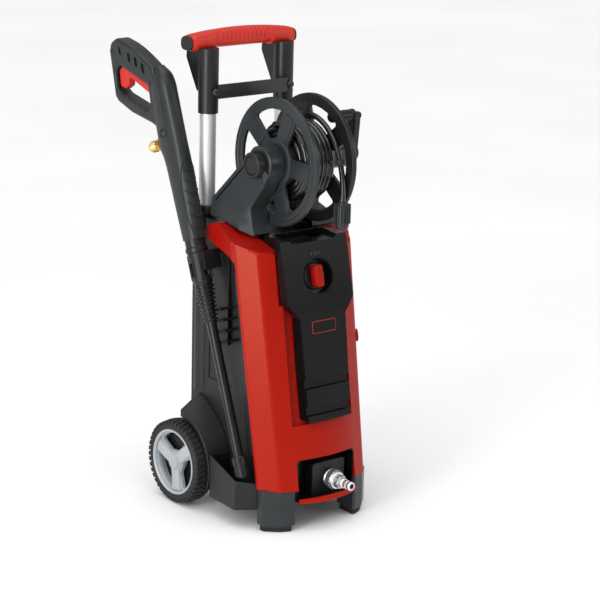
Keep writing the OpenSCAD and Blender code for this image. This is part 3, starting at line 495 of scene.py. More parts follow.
# ------------------------ red shell
CREASE, BORDER, BACK = (99, -76), (122, -41), -36    # corners of one side in the leaning plan
FRONT_R, FRONT_Y = 216, 116                          # the front is an arc about this place on the y axis
LEAN_SIN, LEAN_COS = 0.1564, 0.9877                  # of LEAN_ANGLE, rounded
ROOF_LEVEL, ROOF_SLOPE, ROOF_DROP = 431.67, 0.4583, 0.9399    # the roof's plane in the leaning frame


def front_y(x, depth=0.0):
    """The front arc at x, depth behind its face, in the leaning plan."""
    return FRONT_Y - sqrt((FRONT_R - depth) ** 2 - x * x)


def shell_outline():
    """Plan of the leaning shell, front arc with rounded creases, closed behind."""
    left = [(-BORDER[0], BACK, 0), (-BORDER[0], BORDER[1], 7), (-CREASE[0], CREASE[1], 16)]
    mirror_side = [(-p[0], *p[1:]) for p in reversed(left)]
    return fillet([*left, *((x, front_y(x), 0) for x in range(-90, 91, 6)), *mirror_side], 0, 6)


def shell_height(y, z):
    """Height in the leaning frame of a plan point that ends at level z; None means the roof."""
    if z is None:
        return (ROOF_LEVEL + ROOF_SLOPE * y) / ROOF_DROP
    return (z - LEAN_Z + LEAN_SIN * y) / LEAN_COS


def shell_solid(outline, low, rim=5.5, steps=6):
    """The leaning form from level low up to the roof, its top edge rounded."""
    rings, n = [], len(outline)
    for k in range(-1, steps + 1):
        a = max(k, 0) / steps * pi / 2
        ring = []
        for i, (x, y) in enumerate(outline):
            if 0 < i < n - 1:
                along = Vector(outline[i + 1]) - Vector(outline[i - 1])
                inward = Vector((-along.y, along.x)).normalized() * rim * (1 - cos(a))
            else:
                inward = Vector((copysign(rim, -x) * (1 - cos(a)), 0))
            x1, y1 = x + inward.x, y + inward.y
            level = shell_height(y1, None) - rim * (1 - sin(a)) if k >= 0 else shell_height(y, low)
            ring.append((x1, y1, level))
        rings.append(ring)
    return moved(loft(rings), LEAN)


def trough_cutter(depth, half, low):
    """Takes depth off the front, half to each side of the middle, from the leaning level low upwards."""
    inner = [(x, front_y(x, depth)) for x in range(-half, half + 1, 7)]
    cutter = block([*inner, (half, -140), (-half, -140)], low, 470)
    keep = []
    for edge in cutter.edges:
        ends = [v.co for v in edge.verts]
        at_foot = all(p.z < low + 1 for p in ends)
        at_side = all(abs(abs(p.x) - half) < 0.1 for p in ends)
        if all(p.y > -120 for p in ends) and (at_foot or at_side):
            keep.append(edge)
    return moved(bevelled(cutter, keep, 4, 4, clamp=False), LEAN)


FLARE, FLARE_FROM, FLARE_RISE = 9, 110, 390     # outwards at the top, over the height from FLARE_FROM


def flared(bm):
    """The shell opens a little towards its top, and less towards the rear ends of its arms."""
    for v in bm.verts:
        outer = smooth_step((abs(v.co.x) - 78) / 20)
        front = 1 - smooth_step((v.co.y - 20) / 70)
        share = outer * max(0.0, v.co.z - FLARE_FROM) / FLARE_RISE * front
        v.co.x += copysign(FLARE * share, v.co.x)
    return bm


# body with its trough and recess, then the lip over the recess, the two arms and the roof's sides
notch = rectangle(-67, 67, 20, 134, 10, 6)
shell = boolean(shell_solid(shell_outline(), 78), [
    trough_cutter(9, 70, 103),
    trough_cutter(9, 77, 323),
    box(-69.8, 69.8, -20.3, 120, 490, 560),
    upright(notch, 20, 140),
    moved(box(-97, 97, -68, 10, -20, 385), LEAN),
])
piece("shell_body", flared(ease(shell, 1.0, 2, 34)), "root", "red_gloss", replaces=("red_shell",))
lip = []
LIP_HALF, LIP_TOP = 66, 62
for x in range(-LIP_HALF, LIP_HALF + 1, 6):
    front, rear = front_y(x), front_y(x, 4)
    sag = 54 - 2 * cos(x / LIP_HALF * pi / 2)
    corners = ((front, sag), (rear, sag), (rear, LIP_TOP), (front, LIP_TOP))
    lip.append([(x, y, shell_height(y, z)) for y, z in corners])
piece("shell_lip", moved(ease(loft(lip), 0.9, 2, 50), LEAN), "root", "red_gloss")
for side, name in SIDES:
    arm_line = [(-4, 474, 3), (17, 480, 14), (46, 493, 14), (132, 511, 5), (138, 520, 7), (132, 531.5, 8),
                (97, 546.5, 20), (40, 524, 10), (6, 513.4, 4)]
    beyond = block([(96.5, -79), (121.2, -41.4), (121.6, -34), (122.8, -32), (160, -20), (160, -110),
                    (96.5, -110)], 300, 560)
    tapered = moved(box(0, 40, 0, 200, 400, 640), at(123, 35, 0) @ turn(4.5, "Z"))
    arm = boolean(across(fillet(arm_line, 4, 4), 96, 122.6), [tapered, moved(beyond, LEAN)])
    piece(f"shell_arm_{name}", flared(ease(arm, 3.2, 4, 26)), "root", "red_gloss", flip(side))
    roof = block([(-9, 504), (-7, 508.8), (40, 524), (97, 540.5), (97, 536), (40, 519)], 70, 98)
    piece(f"shell_roof_{name}", flared(moved(ease(roof, 0.8, 2), ALONG_X)), "root", "red_gloss", flip(side))

# ------------------------ black housing and foot
# housing with vents, tube channels and the strips beside the shell
side_view = [(-49, 66.5, 3), (17.5, 500, 4), (104, 536, 12), (193, 546, 8), (193, 128, 10), (176, 116, 6),
             (128, 112, 4), (70, 66.5, 3)]
housing = across(fillet(side_view, 5, 4), -100, 100)
vents = [box(-62, 62, 189, 200, z, z + 5) for z in range(352, 470, 12)]
flank_panels = [box(s * 101 - 2.6, s * 101 + 2.6, 70, 140, 240, 430) for s in (-1, 1)]
tube_bores = [moved(rod(16.2, 212, 560, 48), at(s * TUBE_X, TUBE_Y, 0)) for s in (-1, 1)]
housing = boolean(housing, [*vents, *flank_panels, *tube_bores])
channels = [moved(pipe(16.3, 20.5, 209, 541, 64), at(s * TUBE_X, TUBE_Y, 0)) for s in (-1, 1)]
strips = [moved(block([(99, -30), (116, -30), (113, -16), (99, 14)], 50, 385, 1.2, 2), flip(s) @ LEAN)
          for s in (-1, 1)]
for strip in strips:
    bmesh.ops.reverse_faces(strip, faces=strip.faces)
piece("housing_body", [ease(housing, 2.0, 3, 30), *channels, *strips], "root", "black_housing",
      replaces=("rear_housing",))
screws = []
for s in (-1, 1):
    for z in (150, 320, 500):
        head = turned([(0, 0), (5, 0), (5, 1.2), (4.2, 2), (2.4, 2), (2.2, 0.8), (0, 0.8)], 0.3, 32)
        screws.append(moved(head, at(s * 60, 193, z) @ turn(-90, "X")))
piece("housing_screws", screws, "root", "steel")

# side pockets with a slanted mouth
pocket = fillet([(-100, -35, 0), (-117, -34.5, 3), (-152, -12, 3), (-146, 74, 3), (-100, 74, 0)], 3, 4)
pocket_in = fillet([(-96, -32, 0), (-116, -31.5, 3), (-149, -10.5, 3), (-143, 71, 3), (-96, 71, 0)], 3, 4)
pockets = []
for s in (-1, 1):
    walls = boolean(block(pocket, 36, 120), [
        block(pocket_in, 39, 130), moved(box(-10, 120, 0, 170, 0, 70), at(-170, -36, 84) @ turn(17, "X")),
    ])
    pockets.append(moved(ease(walls, 1.0, 3, 34), flip(-s)))
piece("pocket_walls", pockets, "root", "black_housing", replaces=("side_pockets",))
eased_copy("base_chassis", "root", 1.0)

GUARD_OUT, GUARD_IN, GUARD_R = 146, 100.4, 86       # outer and inner edge, and the radius over the tyre
for s, name in SIDES:
    guard = []
    for i in range(41):
        a = i * 2.8
        edge = 86 + along_edge([(0, 14), (20, 9), (45, 5), (80, 4), (120, 4)], a)
        rear = along_edge([(0, 126), (10, 119), (20, 112), (40, 105), (56, 102), (68, 99), (120, 99)], a)
        rear = min(rear, 90.2 / sin(radians(a))) if a > 60 else rear
        swell = 2.2 * max(0.0, 1 - a / 60)
        section = [(GUARD_OUT, GUARD_R)]
        for k in range(9):
            t = k / 8
            radius = edge + (rear - edge) * t ** 1.15 + swell * sin(pi * t)
            section.append((GUARD_OUT - (GUARD_OUT - GUARD_IN) * t, radius))
        section.append((GUARD_IN, GUARD_R))
        cosine, sine = cos(radians(a)), sin(radians(a))
        guard.append([(x, -r * sine, r * cosine) for x, r in section])
    guard = ease(loft(guard), 1.9, 4, 40)
    finish(f"fender_{name}", guard, "root", "black_housing", flip(s) @ AXLE)
    plan = fillet([(121, -36.3), (121, -54), (96, -77), (68, -87), (68, -36.3)], 4, 4)
    leg = boolean(block(plan, 12, 77.7), [box(0, 101, -53, 20, 65.7, 90)])
    small = [(95 + (x - 95) * 0.86, -60 + (y + 60) * 0.86) for x, y in plan]
    piece(f"leg_{name}_finish", [ease(leg, 1.4, 3, 34), block(small, 9, 12.5)], "root", "grey_plastic",
          flip(s), (f"front_leg_{name}",))
# rubber pads
pads = []
for s in (-1, 1):
    plan = fillet([(117, -40.3), (117, -52.4), (94.8, -73), (72, -83), (72, -40.3)], 4, 4)
    pads.append(moved(block(plan, 0, 9, 1.2, 3), flip(s)))
finish("foot_pads", pads, "root", "rubber")

# water inlet: liner of the recess, boss plate, nut and nipple
liner = boolean(upright(rectangle(-66.4, 66.4, 52, 133.4, 9.5, 5), 50.6, 84), [
    upright(rectangle(-64.4, 64.4, 40, 131.4, 8, 5), 51.8, 140)])
plan = [*((x, front_y(x, 3.8)) for x in range(-64, 65, 8)), (64, -48), (-64, -48)]
floor_plate = moved(loft([[(x, y, shell_height(y, z)) for x, y in plan] for z in (54, 56)]), LEAN)
piece("recess_liner", [ease(liner, 0.6, 2, 40), floor_plate], "root", "panel_black")
boss = boolean(moved(plate(rectangle(-20, 56, 51, 115, 5, 4), 50.6, 72, 1.6), ALONG_Y),
               [moved(rod(13.4, -5, 30, 64), at(18, -80, 83) @ turn(-90, "X"))])
piece("inlet_boss", boss, "root", "black_housing", replaces=("inlet_block",))
ring = turned([(5, -30), (13.2, -30), (13.2, 4), (17, 4), (17, 7), (16, 8.4), (16, 10), (17, 11.4), (17, 22),
               (15.6, 26), (13, 26), (12.4, 29), (9.4, 44), (7.2, 46), (7, 50), (8.25, 51), (8.25, 54.5),
               (6.9, 55.5), (6.9, 57.5), (8.25, 58.5), (8.25, 64), (7.2, 66), (5, 66)], 0.5, 72, 2, True)
flats = block(circle(12.9, 6), 27, 38, 0.8, 2)
bore = [rod(5.05, -40, 80, 48)]
grips = around(box(16.2, 18.2, -1.2, 1.2, 12, 21, 0.5, 2), 16)
piece("inlet_adapter", [ring, boolean(flats, bore), *grips], "root", "inlet_metal",
      at(18, -72, 83) @ turn(90, "X"), ("inlet_nut",))

# ------------------------ front panel and tray
# panel face, cut for the knob's dish and the tray's well
profile = [(-93.4, 202, 2), (-91.5, 215, 1), (-85.8, 216.5, 1), (-83.6, 230.5, 1), (-89.1, 232, 1),
           (-84.5, 264, 1), (-78.6, 265.5, 1), (-76.4, 279.5, 1), (-82, 281, 1), (-64.5, 402, 60),
           (-31.7, 528, 1.5), (-19.8, 528, 1), (-40, 402), (-62, 202, 1)]
panel_front = fillet([(-49, 202, 5), (49, 202, 5), (52, 390, 8), (74.5, 417, 10), (76.5, 528, 3),
                      (-76.5, 528, 3), (-74.5, 417, 10), (-52, 390, 8)], 5, 5)
panel = boolean(across(fillet(profile, 0.8, 3), -90, 90), [upright(panel_front, 5, 120)], "INTERSECT")
well = upright([(-58, 530), (-49, 521.5), (47, 521.5), (57, 530), (57, 540), (-58, 540)], -14, 60)
panel = boolean(panel, [
    moved(rod(33, -15, 30, 72), KNOB),
    moved(pipe(33, 34.6, -0.7, 10, 72), KNOB),
    well.copy(),
])
piece("panel_face", ease(panel, 1.1, 3, 30), "root", "panel_black", replaces=("front_panel",))
bezel = turned([(30.6, -14.9), (33, -14.9), (33, -0.9), (31.9, -0.9)], 0.4, 72, 2, True)
dish = turned([(6.2, -15), (31, -15), (31, -14.2), (27, -14.6), (6.2, -14.6)], 0.2, 72, 2, True)
piece("knob_dish", [bezel, dish], "root", "panel_black", KNOB)
# marks beside the knob, and the plain badge
marks = [box(-0.7, 0.7, -2.4, 2.4, 0, 0.35), box(-3, 3, -0.5, 0.5, 0, 0.35), pipe(2.1, 2.8, 0, 0.35, 32)]
marks = [moved(mark, at(x, 41, -0.05)) for mark, x in zip(marks, (-9, 9, 0))]
piece("panel_marks", marks, "root", "mark_white", KNOB)
badge_at = at(0, -64.5, 402) @ turn(90 - degrees(atan(28.9 / 200)), "X") @ at(0, -30, 0)
piece("badge_plate", plate(rectangle(-27, 27, -11, 11, 2, 3), -0.6, 0.5, 0.3), "root", "red_grip", badge_at)
piece("badge_face", plate(rectangle(-26.2, 26.2, -10.2, 10.2, 1.6, 3), -0.4, 0.7, 0.2), "root",
      "panel_black", badge_at)

# tray behind the panel's top edge
tray_line = fillet([(-20, 497, 0), (-20, 528, 1.5), (0, 530, 8), (24, 530, 1), (24, 506, 1), (14, 502, 1)],
                   1, 3)
hollow = fillet([(-56, 60, 0), (56, 60, 0), (45, -2), (40, -9), (-42, -9), (-47, -2)], 3, 4)
tray = boolean(across(tray_line, -69.5, 69.5), [block(hollow, 515, 560), well])
ramp = across([(20, 504), (20, 530), (30, 530), (60, 536), (95, 541), (95, 534)], -49.6, 49.6, 1.2, 2)
piece("tray_finish", [ease(tray, 1.4, 3, 26), ramp], "root", "panel_black", replaces=("top_tray",))

# rotary switch and dial
base = turned([(0, -14.5), (23.4, -14.5), (24, -13.4), (22.6, -10.8), (0, -10.4)], 0.8, 72)
bar = plate(rectangle(-9, 9, -20, 20, 5.5, 6), -11.5, 5, 2.2, steps=4)
groove = box(-1.1, 1.1, 6, 18, 4.4, 9)
shaft = rod(6, -39.6, -13, 32)
piece("switch_bar", boolean(bar, [groove]), "switch", "red_gloss", KNOB, ("switch_knob",))
piece("switch_base", [base, shaft], "switch", "black_plastic", KNOB)
cap = turned([(0, 0.3), (11.5, 0.3), (11.5, 8), (10.4, 9.1), (0, 9.1)], 0.5, 64)
teeth = around(box(11, 12, -0.9, 0.9, 0.8, 7.8, 0.3, 1), 18)
piece("dial_cap", [cap, *teeth, rod(4, -9, 1, 32)], "dial", "red_gloss", DIAL, ("detergent_dial",))


# ------------------------ hose reel
def spun(points, angle):
    """An outline of y and z, turned about the x axis."""
    c, s = cos(radians(angle)), sin(radians(angle))
    return [(y * c - z * s, y * s + z * c) for y, z in points]


window = fillet([*sector(95.5, range(-25, 26, 10), 4), *sector(45, (15, -15), 4)], 0, 4)
for side, name, phase in ((-1, "left", 59), (1, "right", 19)):
    disc = plate(circle(98, 120), 38.2, 45.2, 1.1,
                 [circle(13, 32), *(spun(window, i * 72 + phase) for i in range(5))])
    disc.transform(ALONG_X)
    rim = turned([(96.6, 38.4), (96.6, 44.6), (98.4, 46.4), (106.5, 46.4), (108.2, 47.5), (114.4, 47.5),
                  (116.3, 45.6), (116.3, 39.4), (114.4, 37.4), (98.6, 37.4)], 0.9, 144, 3, True)
    hub = turned([(12.3, 37.4), (43.5, 37.4), (43.5, 43.5), (40.5, 46.8), (27, 47.4), (12.3, 47.4)], 1.4, 96,
                 3, True)
    parts = [disc, moved(rim, ROUND_X), moved(hub, ROUND_X)]
    for i in range(5):
        pad = plate(fillet([(-12, 50), (12, 50), (13, 94), (-13, 94)], 3, 4), 44.6, 46.4, 0.6)
        parts.append(moved(moved(pad, ALONG_X), turn(i * 72 + phase + 36, "X")))
        for s in (-1, 1):
            web = box(37.5, 39, -1.1, 1.1, 46, 95, 0.4, 1)
            parts.append(moved(moved(web, at(0, s * 14, 0)), turn(i * 72 + phase + 36, "X")))
    parts += around(box(36.7, 37.8, -0.9, 0.9, 100, 113.5, 0.3, 1), 72, "X")
    # painted shade: the right flange gets black plastic instead of the left's grey, darkening its shaded
    # inner side; both flanges are really the same grey plastic
    finish(f"flange_{name}", parts, "reel", "grey_plastic" if side < 0 else "black_plastic",
           REEL @ flip(side))
# drum and spindle
drum = pipe(12, 45, -37, 37, 96, 0.6, 2)
spindle = rod(12, -76, 134, 64, 1.0)
piece("drum_finish", [moved(drum, ROUND_X), moved(spindle, ROUND_X)], "reel", "black_plastic", REEL,
      ("reel_drum",))

bracket_line = [(30, 527.6, 2), (34, 548, 3), (38, 577, 10), (-5.7, 646, 12), (24.3, 672, 2),
                (50.3, 681, 12), (125, 586, 8), (125, 552.6, 3), (97, 550.1, 6), (60, 538.6, 6)]
axle_bore = moved(rod(12.4, 40, 130, 48), REEL @ ROUND_X)
# left: broad, flared towards the shoulder, with a chamfered front corner and a groove along its back
flare = loft([[(x + dx, y, z) for x, y in ((91.2, 7), (114.6, 140), (175, 140), (175, 7))]
              for dx, z in ((0, 500), (0, 560), (-24.8, 700))])
corner = loft([[(x + dx, y + dy, z) for x, y in ((78, 18.7), (118, 88), (178, 53), (138, -16.3))]
               for dx, dy, z in ((0, 0, 500), (0, 0, 577), (-9.1, -54.2, 666.7))])
slit = loft([[(x0, y - 1.2, z - 1.0), (x0, y + 1.2, z + 1.0), (x0 + 30, y + 1.2, z + 1.0),
              (x0 + 30, y - 1.2, z - 1.0)] for x0, y, z in ((73, 50, 668), (76, 61, 654), (98, 118, 581))])
solid = boolean(across(fillet(bracket_line, 3, 4), 50, 112), [flare, corner, slit])
head = moved(rod(33, 50, 80, 96), REEL @ ROUND_X)
solid = boolean(boolean(ease(solid, 1.8, 3, 30), [head], "UNION"), [axle_bore.copy()])
collar = turned([(12.4, 78), (31, 78), (33, 80), (30.4, 82), (26.5, 82), (25.5, 80.8), (12.4, 80.8)], 0.8,
                96, 3, True)
collar = moved(collar, REEL @ ROUND_X)
finish("bracket_left", [solid, collar], "root", "grey_plastic", flip(-1))
# right: slim, behind the folded crank
head = moved(rod(33, 50, 69, 96), REEL @ ROUND_X)
web = boolean(across(fillet(bracket_line, 3, 4), 50, 69), [head], "UNION")
web = boolean(web, [across(fillet([(54, 572), (60, 618), (110, 584), (112, 572)], 5, 4), 61, 73), axle_bore])
foot_line = fillet([(30, 527.5), (33, 540), (97, 560), (125, 566), (125, 552.5), (97, 550), (60, 538.5)],
                   2.5, 3)
foot = across(foot_line, 50, 112, 1.6, 3)
boss = moved(pipe(12.4, 25, 67, 112, 96, 1.2, 3), REEL @ ROUND_X)
finish("bracket_right", [ease(web, 2.4, 4, 30), foot, boss], "root", "grey_plastic")
# cap on the left bracket
lid = turned([(0, 99.4), (15.4, 99.4), (16.2, 98.4), (17.2, 98.4), (18, 101), (21.3, 101), (23.5, 98.8),
              (23.5, 81), (11, 81), (11, 78), (0, 78)], 0.7, 96)
piece("bracket_lid", moved(lid, ROUND_X), "root", "black_plastic", flip(-1) @ REEL, ("bracket_cap",))

CRANK = REEL @ turn(8, "X")
arm = plate(fillet([(-14, -6, 9), (-14, 4, 20), (-11, 72, 10), (11, 72, 10), (14, 4, 20), (14, -6, 9),
                    (0, -15, 14)], 6, 6), 122, 136, 2.6)
arm = boolean(moved(arm, ALONG_X), [box(116, 150, -5.6, 5.6, 61, 95)])
hinge = [moved(pipe(2.1, 8, s * 5.7, s * 10.8, 48, 0.8, 3), at(129, 0, 72) @ turn(90, "X")) for s in (-1, 1)]
plug = moved(turned([(0, 138), (14.5, 138), (17, 135.5), (17, 122), (0, 122)], 1.0, 72), ROUND_X)
finish("crank_arm", [arm, plug, *hinge], "reel", "black_plastic", CRANK)
# ribbed crank knob
KNOB_R, KNOB_STEPS, FLUTES, FLUTE_DEPTH = 10.5, 96, 8, 1.5
flutes = [KNOB_R - FLUTE_DEPTH * max(0.0, cos(FLUTES * a * tau / KNOB_STEPS)) ** 3
          for a in range(KNOB_STEPS)]
body = turned([(0, -50), (7.6, -50), (KNOB_R, -47), (KNOB_R, -3), (8.6, 0), (0, 0)], 1.4, KNOB_STEPS)
for v in body.verts:
    r = hypot(v.co.x, v.co.y)
    if r > 8 and -48 < v.co.z < -2:
        k = round(atan2(v.co.y, v.co.x) / tau * KNOB_STEPS) % KNOB_STEPS
        v.co.x, v.co.y = v.co.x * flutes[k] / KNOB_R, v.co.y * flutes[k] / KNOB_R
neck = box(-9.2, 0, -4.4, 4.4, -4.4, 4.4, 1.0)
eye = moved(rod(6.5, -5, 5, 48, 0.6), turn(90, "X"))
pin = moved(rod(2, -10.4, 10.4, 32, 0.3), turn(90, "X"))
finish("crank_knob", [moved(body, at(-8.5, 0, 0) @ ROUND_X), neck, eye, pin], "crank_handle",
       "black_plastic", CRANK @ at(129, 0, 72))

# ------------------------ handle
for side, name in SIDES:
    stem = at(side * TUBE_X, TUBE_Y, 0)
    finish(f"tube_{name}", pipe(13.5, 15, 375, 742, 96, 0.4, 2), "handle", "tube_aluminium", stem)
    outer = rod(18.5, 731, 848, 96)
    gusset = [(0, 800, 0), (0, 846, 0), (36, 849, 3), (45, 846, 6), (47, 828, 12), (14, 770, 12),
              (6, 770, 2)]
    gusset = across(fillet(gusset, 4, 4), -15.5, 15.5)
    sleeve = boolean(outer, [gusset], "UNION")
    slope = moved(box(-40, 40, -60, 0, 0, 60), at(0, -18.5, 819) @ turn(50, "X"))
    sleeve = boolean(sleeve, [rod(15.05, 725, 742.1, 72), slope])
    finish(f"sleeve_{name}", ease(sleeve, 1.5, 3, 34), "handle", "black_plastic", stem)
collars = []
for side in (-1, 1):
    clamp = turned([(15.1, 546), (20, 546), (21, 549), (21, 558), (19, 562), (15.1, 562)], 0.8, 96, 3, True)
    collars.append(moved(clamp, at(side * TUBE_X, TUBE_Y, 0)))
    collars.append(moved(pipe(15.1, 16, 505, 547, 64), at(side * TUBE_X, TUBE_Y, 0)))
piece("collars_finish", collars, "root", "black_plastic", replaces=("tube_collars",))
# cross strap with its bolts
strap = box(-80, 80, 148.5, 151.5, 758, 784, 0.7, 2)
piece("strap_finish", strap, "handle", "black_metal", replaces=("cross_strap",))
bolts = []
for side in (-1, 1):
    dome = turned([(0, 0), (7, 0), (7, 1.2), (6, 3.4), (3.6, 5.2), (2.6, 5.4), (2.6, 3.4), (0, 3.4)], 0.5,
                  48)
    bolts.append(moved(dome, at(side * TUBE_X, 148.5, 771) @ turn(90, "X")))
piece("bolts_finish", bolts, "handle", "black_metal", replaces=("strap_bolts",))

GRIP_HALF, GRIP_Y, GRIP_TOP, RIB_PITCH = 116.5, 192, 879.3, 9.5    # half length, middle, top, ribs


def grip_section(x):
    """Half depth, top and bottom of the red grip at x."""
    top = GRIP_TOP - 8.5 * (x / GRIP_HALF) ** 2
    end = smooth_step((abs(x) - 61) / 5)
    swell = 1 - smooth_step((abs(x) - 109) / 7.6) * 0.06
    low = 845 - 3.4 * end + (1 - swell) * 20
    return (15.6 + 2.2 * end) * swell, top - (1 - swell) * 14, low


def grip_loft(x0, x1, n, ribs=True, squeeze=0.0):
    """The grip between x0 and x1 in n steps, as a skin over flattened rings."""
    rings, m = [], 40
    for i in range(n + 1):
        x = x0 + (x1 - x0) * i / n
        half, top, low = grip_section(x)
        half, top, low = half - squeeze, top - squeeze, low + squeeze
        ring = []
        for k in range(m):
            a = k * tau / m
            c, s = cos(a), sin(a)
            y = half * copysign(abs(c) ** 0.72, c)
            z = (top + low) / 2 + (top - low) / 2 * copysign(abs(s) ** 0.72, s)
            if ribs and abs(x) < 57 and s > -0.25:
                wave = max(0.0, cos(x * tau / RIB_PITCH)) ** 6
                y, z = y * (1 - 0.07 * wave), z - 1.5 * wave * max(s, 0)
            ring.append((x, GRIP_Y + y, z))
        rings.append(ring)
    return loft(rings)


beads = []
for k in range(-5, 5):
    x = (k + 0.5) * RIB_PITCH
    half, top, low = grip_section(x)
    bead = turned([(0, -1), (2.6, -1), (2.4, 0.9), (0, 1.7)], 0.3, 20)
    beads.append(moved(bead, at(x, GRIP_Y - half * 0.93, low + (top - low) * 0.30) @ turn(90, "X")))
grip = [grip_loft(-GRIP_HALF, GRIP_HALF, 196), *beads]
piece("grip_finish", grip, "handle", "red_grip", replaces=("handle_grip",), angle=40)
ends = [ease(grip_loft(s * 116.6, s * 121.4, 2, False, 0.6), 1.3, 3, 50) for s in (-1, 1)]
finish("grip_caps", ends, "handle", "black_plastic")

# ------------------------ gun and lance
# outlines of the gun in y and z of its own frame
gap_line = fillet([(34, 650, 9), (118, 702, 9), (126, 712, 7), (121, 744, 7), (106, 752, 8), (28, 699, 8)],
                  6, 5)
loop_line = fillet([(2, 610, 2), (28, 622, 3), (40, 631, 14), (95, 661, 60), (131, 689, 8), (137, 700, 8),
                    (131, 748, 60), (127, 784, 7), (118, 797, 9), (97, 802, 16), (68, 785, 60),
                    (49, 771, 60), (30, 754, 60), (12, 736, 10), (2, 724, 2)], 6, 5)
BARREL_LOW, BARREL_LENGTH, BARREL_HALF = 408, 319.5, 19
BARREL_STEPS, BARREL_SIDES = 110, 56
front_edge = [(BARREL_LOW, -20.4), (470, -25), (540, -27), (640, -27), (690, -27), (712, -21.5), (722, -13),
              (727.5, -6)]
rear_edge = [(BARREL_LOW, 20.4), (470, 24), (547, 27), (566, 30), (580, 36), (604, 35.5), (640, 33),
             (700, 26), (716, 19), (727.5, 6)]


def barrel_point(w, a, lift=0.0):
    """A point of the gun's barrel at level w; angle a runs round from the right side by way of the back."""
    levels = [max(w + d, BARREL_LOW) for d in (-4, 0, 4)]
    v0, v1 = (sum(along_edge(edge, level) for level in levels) / 3 for edge in (front_edge, rear_edge))
    half = BARREL_HALF * (1 - 0.55 * smooth_step((w - 690) / 40) ** 2) + lift
    c, s = cos(a), sin(a)
    v = (v0 + v1) / 2 + ((v1 - v0) / 2 + lift) * copysign(abs(s) ** 0.84, s)
    return half * copysign(abs(c) ** 0.72, c), v, w


# loop with four slots, and the barrel
slots = []
for v, w, a, b in ((92.6, 776, 3.2, 8.5), (67.7, 759, 4.2, 9.5), (49.2, 746, 4.6, 10), (31.3, 731, 5, 10.5)):
    slot = [(v + a * cos(t * tau / 24), w + b * sin(t * tau / 24)) for t in range(24)]
    slots += [across(slot, u0, u1) for u0, u1 in ((-24, -11.5), (11.5, 24))]
trigger_line = [(10, 680), (30, 676), (60, 690), (129, 712), (123, 768), (104, 772), (10, 706)]
trigger_slot = across(trigger_line, -8.7, 8.7)
loop = boolean(moved(plate(loop_line, -15.5, 15.5, 5.5, [gap_line], 5), ALONG_X),
               [*slots, trigger_slot.copy()])
barrel_rings = []
for i in range(BARREL_STEPS + 1):
    level = BARREL_LOW + BARREL_LENGTH * i / BARREL_STEPS
    barrel_rings.append([barrel_point(level, k * tau / BARREL_SIDES) for k in range(BARREL_SIDES)])
barrel = boolean(loft(barrel_rings), [
    trigger_slot,
    moved(rod(7, -24, -15, 40), LOCK),
    moved(rod(7, 15, 24, 40), LOCK),
])
# arrow marks, panel ring, seams and screws
details, lines = [], []
for k in range(6):
    for s in (-1, 1):
        line = [barrel_point(424 + k * 21 + 9 * t, -pi / 2 + s * (0.04 + 0.70 * t), 0.1)
                for t in (0, 0.2, 0.4, 0.6, 0.8, 1)]
        lines.append(tube([Vector(p) for p in line], 1.3, 10))
panel_ring = []
for t in range(73):
    a = t * tau / 72
    panel_ring.append(Vector(barrel_point(480 + 72 * sin(a), -pi / 2 + 1.02 * cos(a), 0)))
lines.append(tube(panel_ring, 0.9, 8))
for s in (-1, 1):
    seam = [Vector(barrel_point(w, pi / 2 + s * 1.89, -0.3)) for w in range(618, 708, 6)]
    lines.append(tube(seam, 0.8, 8))
    for v, w in ((117.4, 781.5), (16, 700), (-6, 574)):
        head = turned([(0, 13), (4.4, 13), (4.4, 16.2), (3.4, 16.9), (2, 16.9), (1.8, 15.6), (0, 15.6)], 0.3,
                      40)
        details.append(moved(head, at(s * (0 if v > 100 else 2.4), v, w) @ ROUND_X @ turn(90 - s * 90, "X")))
guide = turned([(6.9, -21), (8.6, -21), (9.6, -19.9), (9.6, -14), (6.9, -14)], 0.4, 48, 2, True)
details.append(moved(guide, LOCK))
shells = ("gun_shell_left", "gun_shell_right")
piece("gun_body", [loop, barrel, *details], "gun", "gun_grey", GUN, shells, 30)
piece("gun_lines", lines, "gun", "black_plastic", GUN)
# trigger and lock button
hook_line = [(13, 690, 4), (18, 697, 3), (29, 697.5, 3), (105, 751, 3), (118, 744, 3), (123, 716, 5),
             (110, 708, 4), (97, 711, 5), (90, 727, 12), (39, 686, 8), (26, 683, 4)]
hook = plate(fillet(hook_line, 3, 4), -7.8, 7.8, 2.4)
finish("trigger", moved(hook, ALONG_X), "trigger", "red_grip", GUN)
button = turned([(0, -21.6), (4.6, -21.2), (6.5, -19.4), (6.5, 17.4), (4.8, 18.9), (0, 19)], 0.8, 48)
piece("lock_finish", moved(button, LOCK), "lock", "gun_grey", GUN, ("lock_button",))
# brass inlet
thread = [(9, 30), (9, 47), (10.5, 47)]
for k in range(5):
    thread += [(10.5, 50 + k * 3), (9.5, 51.2 + k * 3), (9.5, 51.8 + k * 3), (10.5, 53 + k * 3)]
thread += [(10.5, 68), (6, 68), (6, 50), (3, 50), (3, 30)]
collar = pipe(9, 12.4, 38, 45.6, 6, 0.6, 2)
inlet = [moved(part, at(0, 0, 590) @ turn(-90, "X")) for part in (lathe(thread, 64, True), collar)]
piece("valve_inlet", inlet, "gun", "brass", GUN, ("gun_valve",))
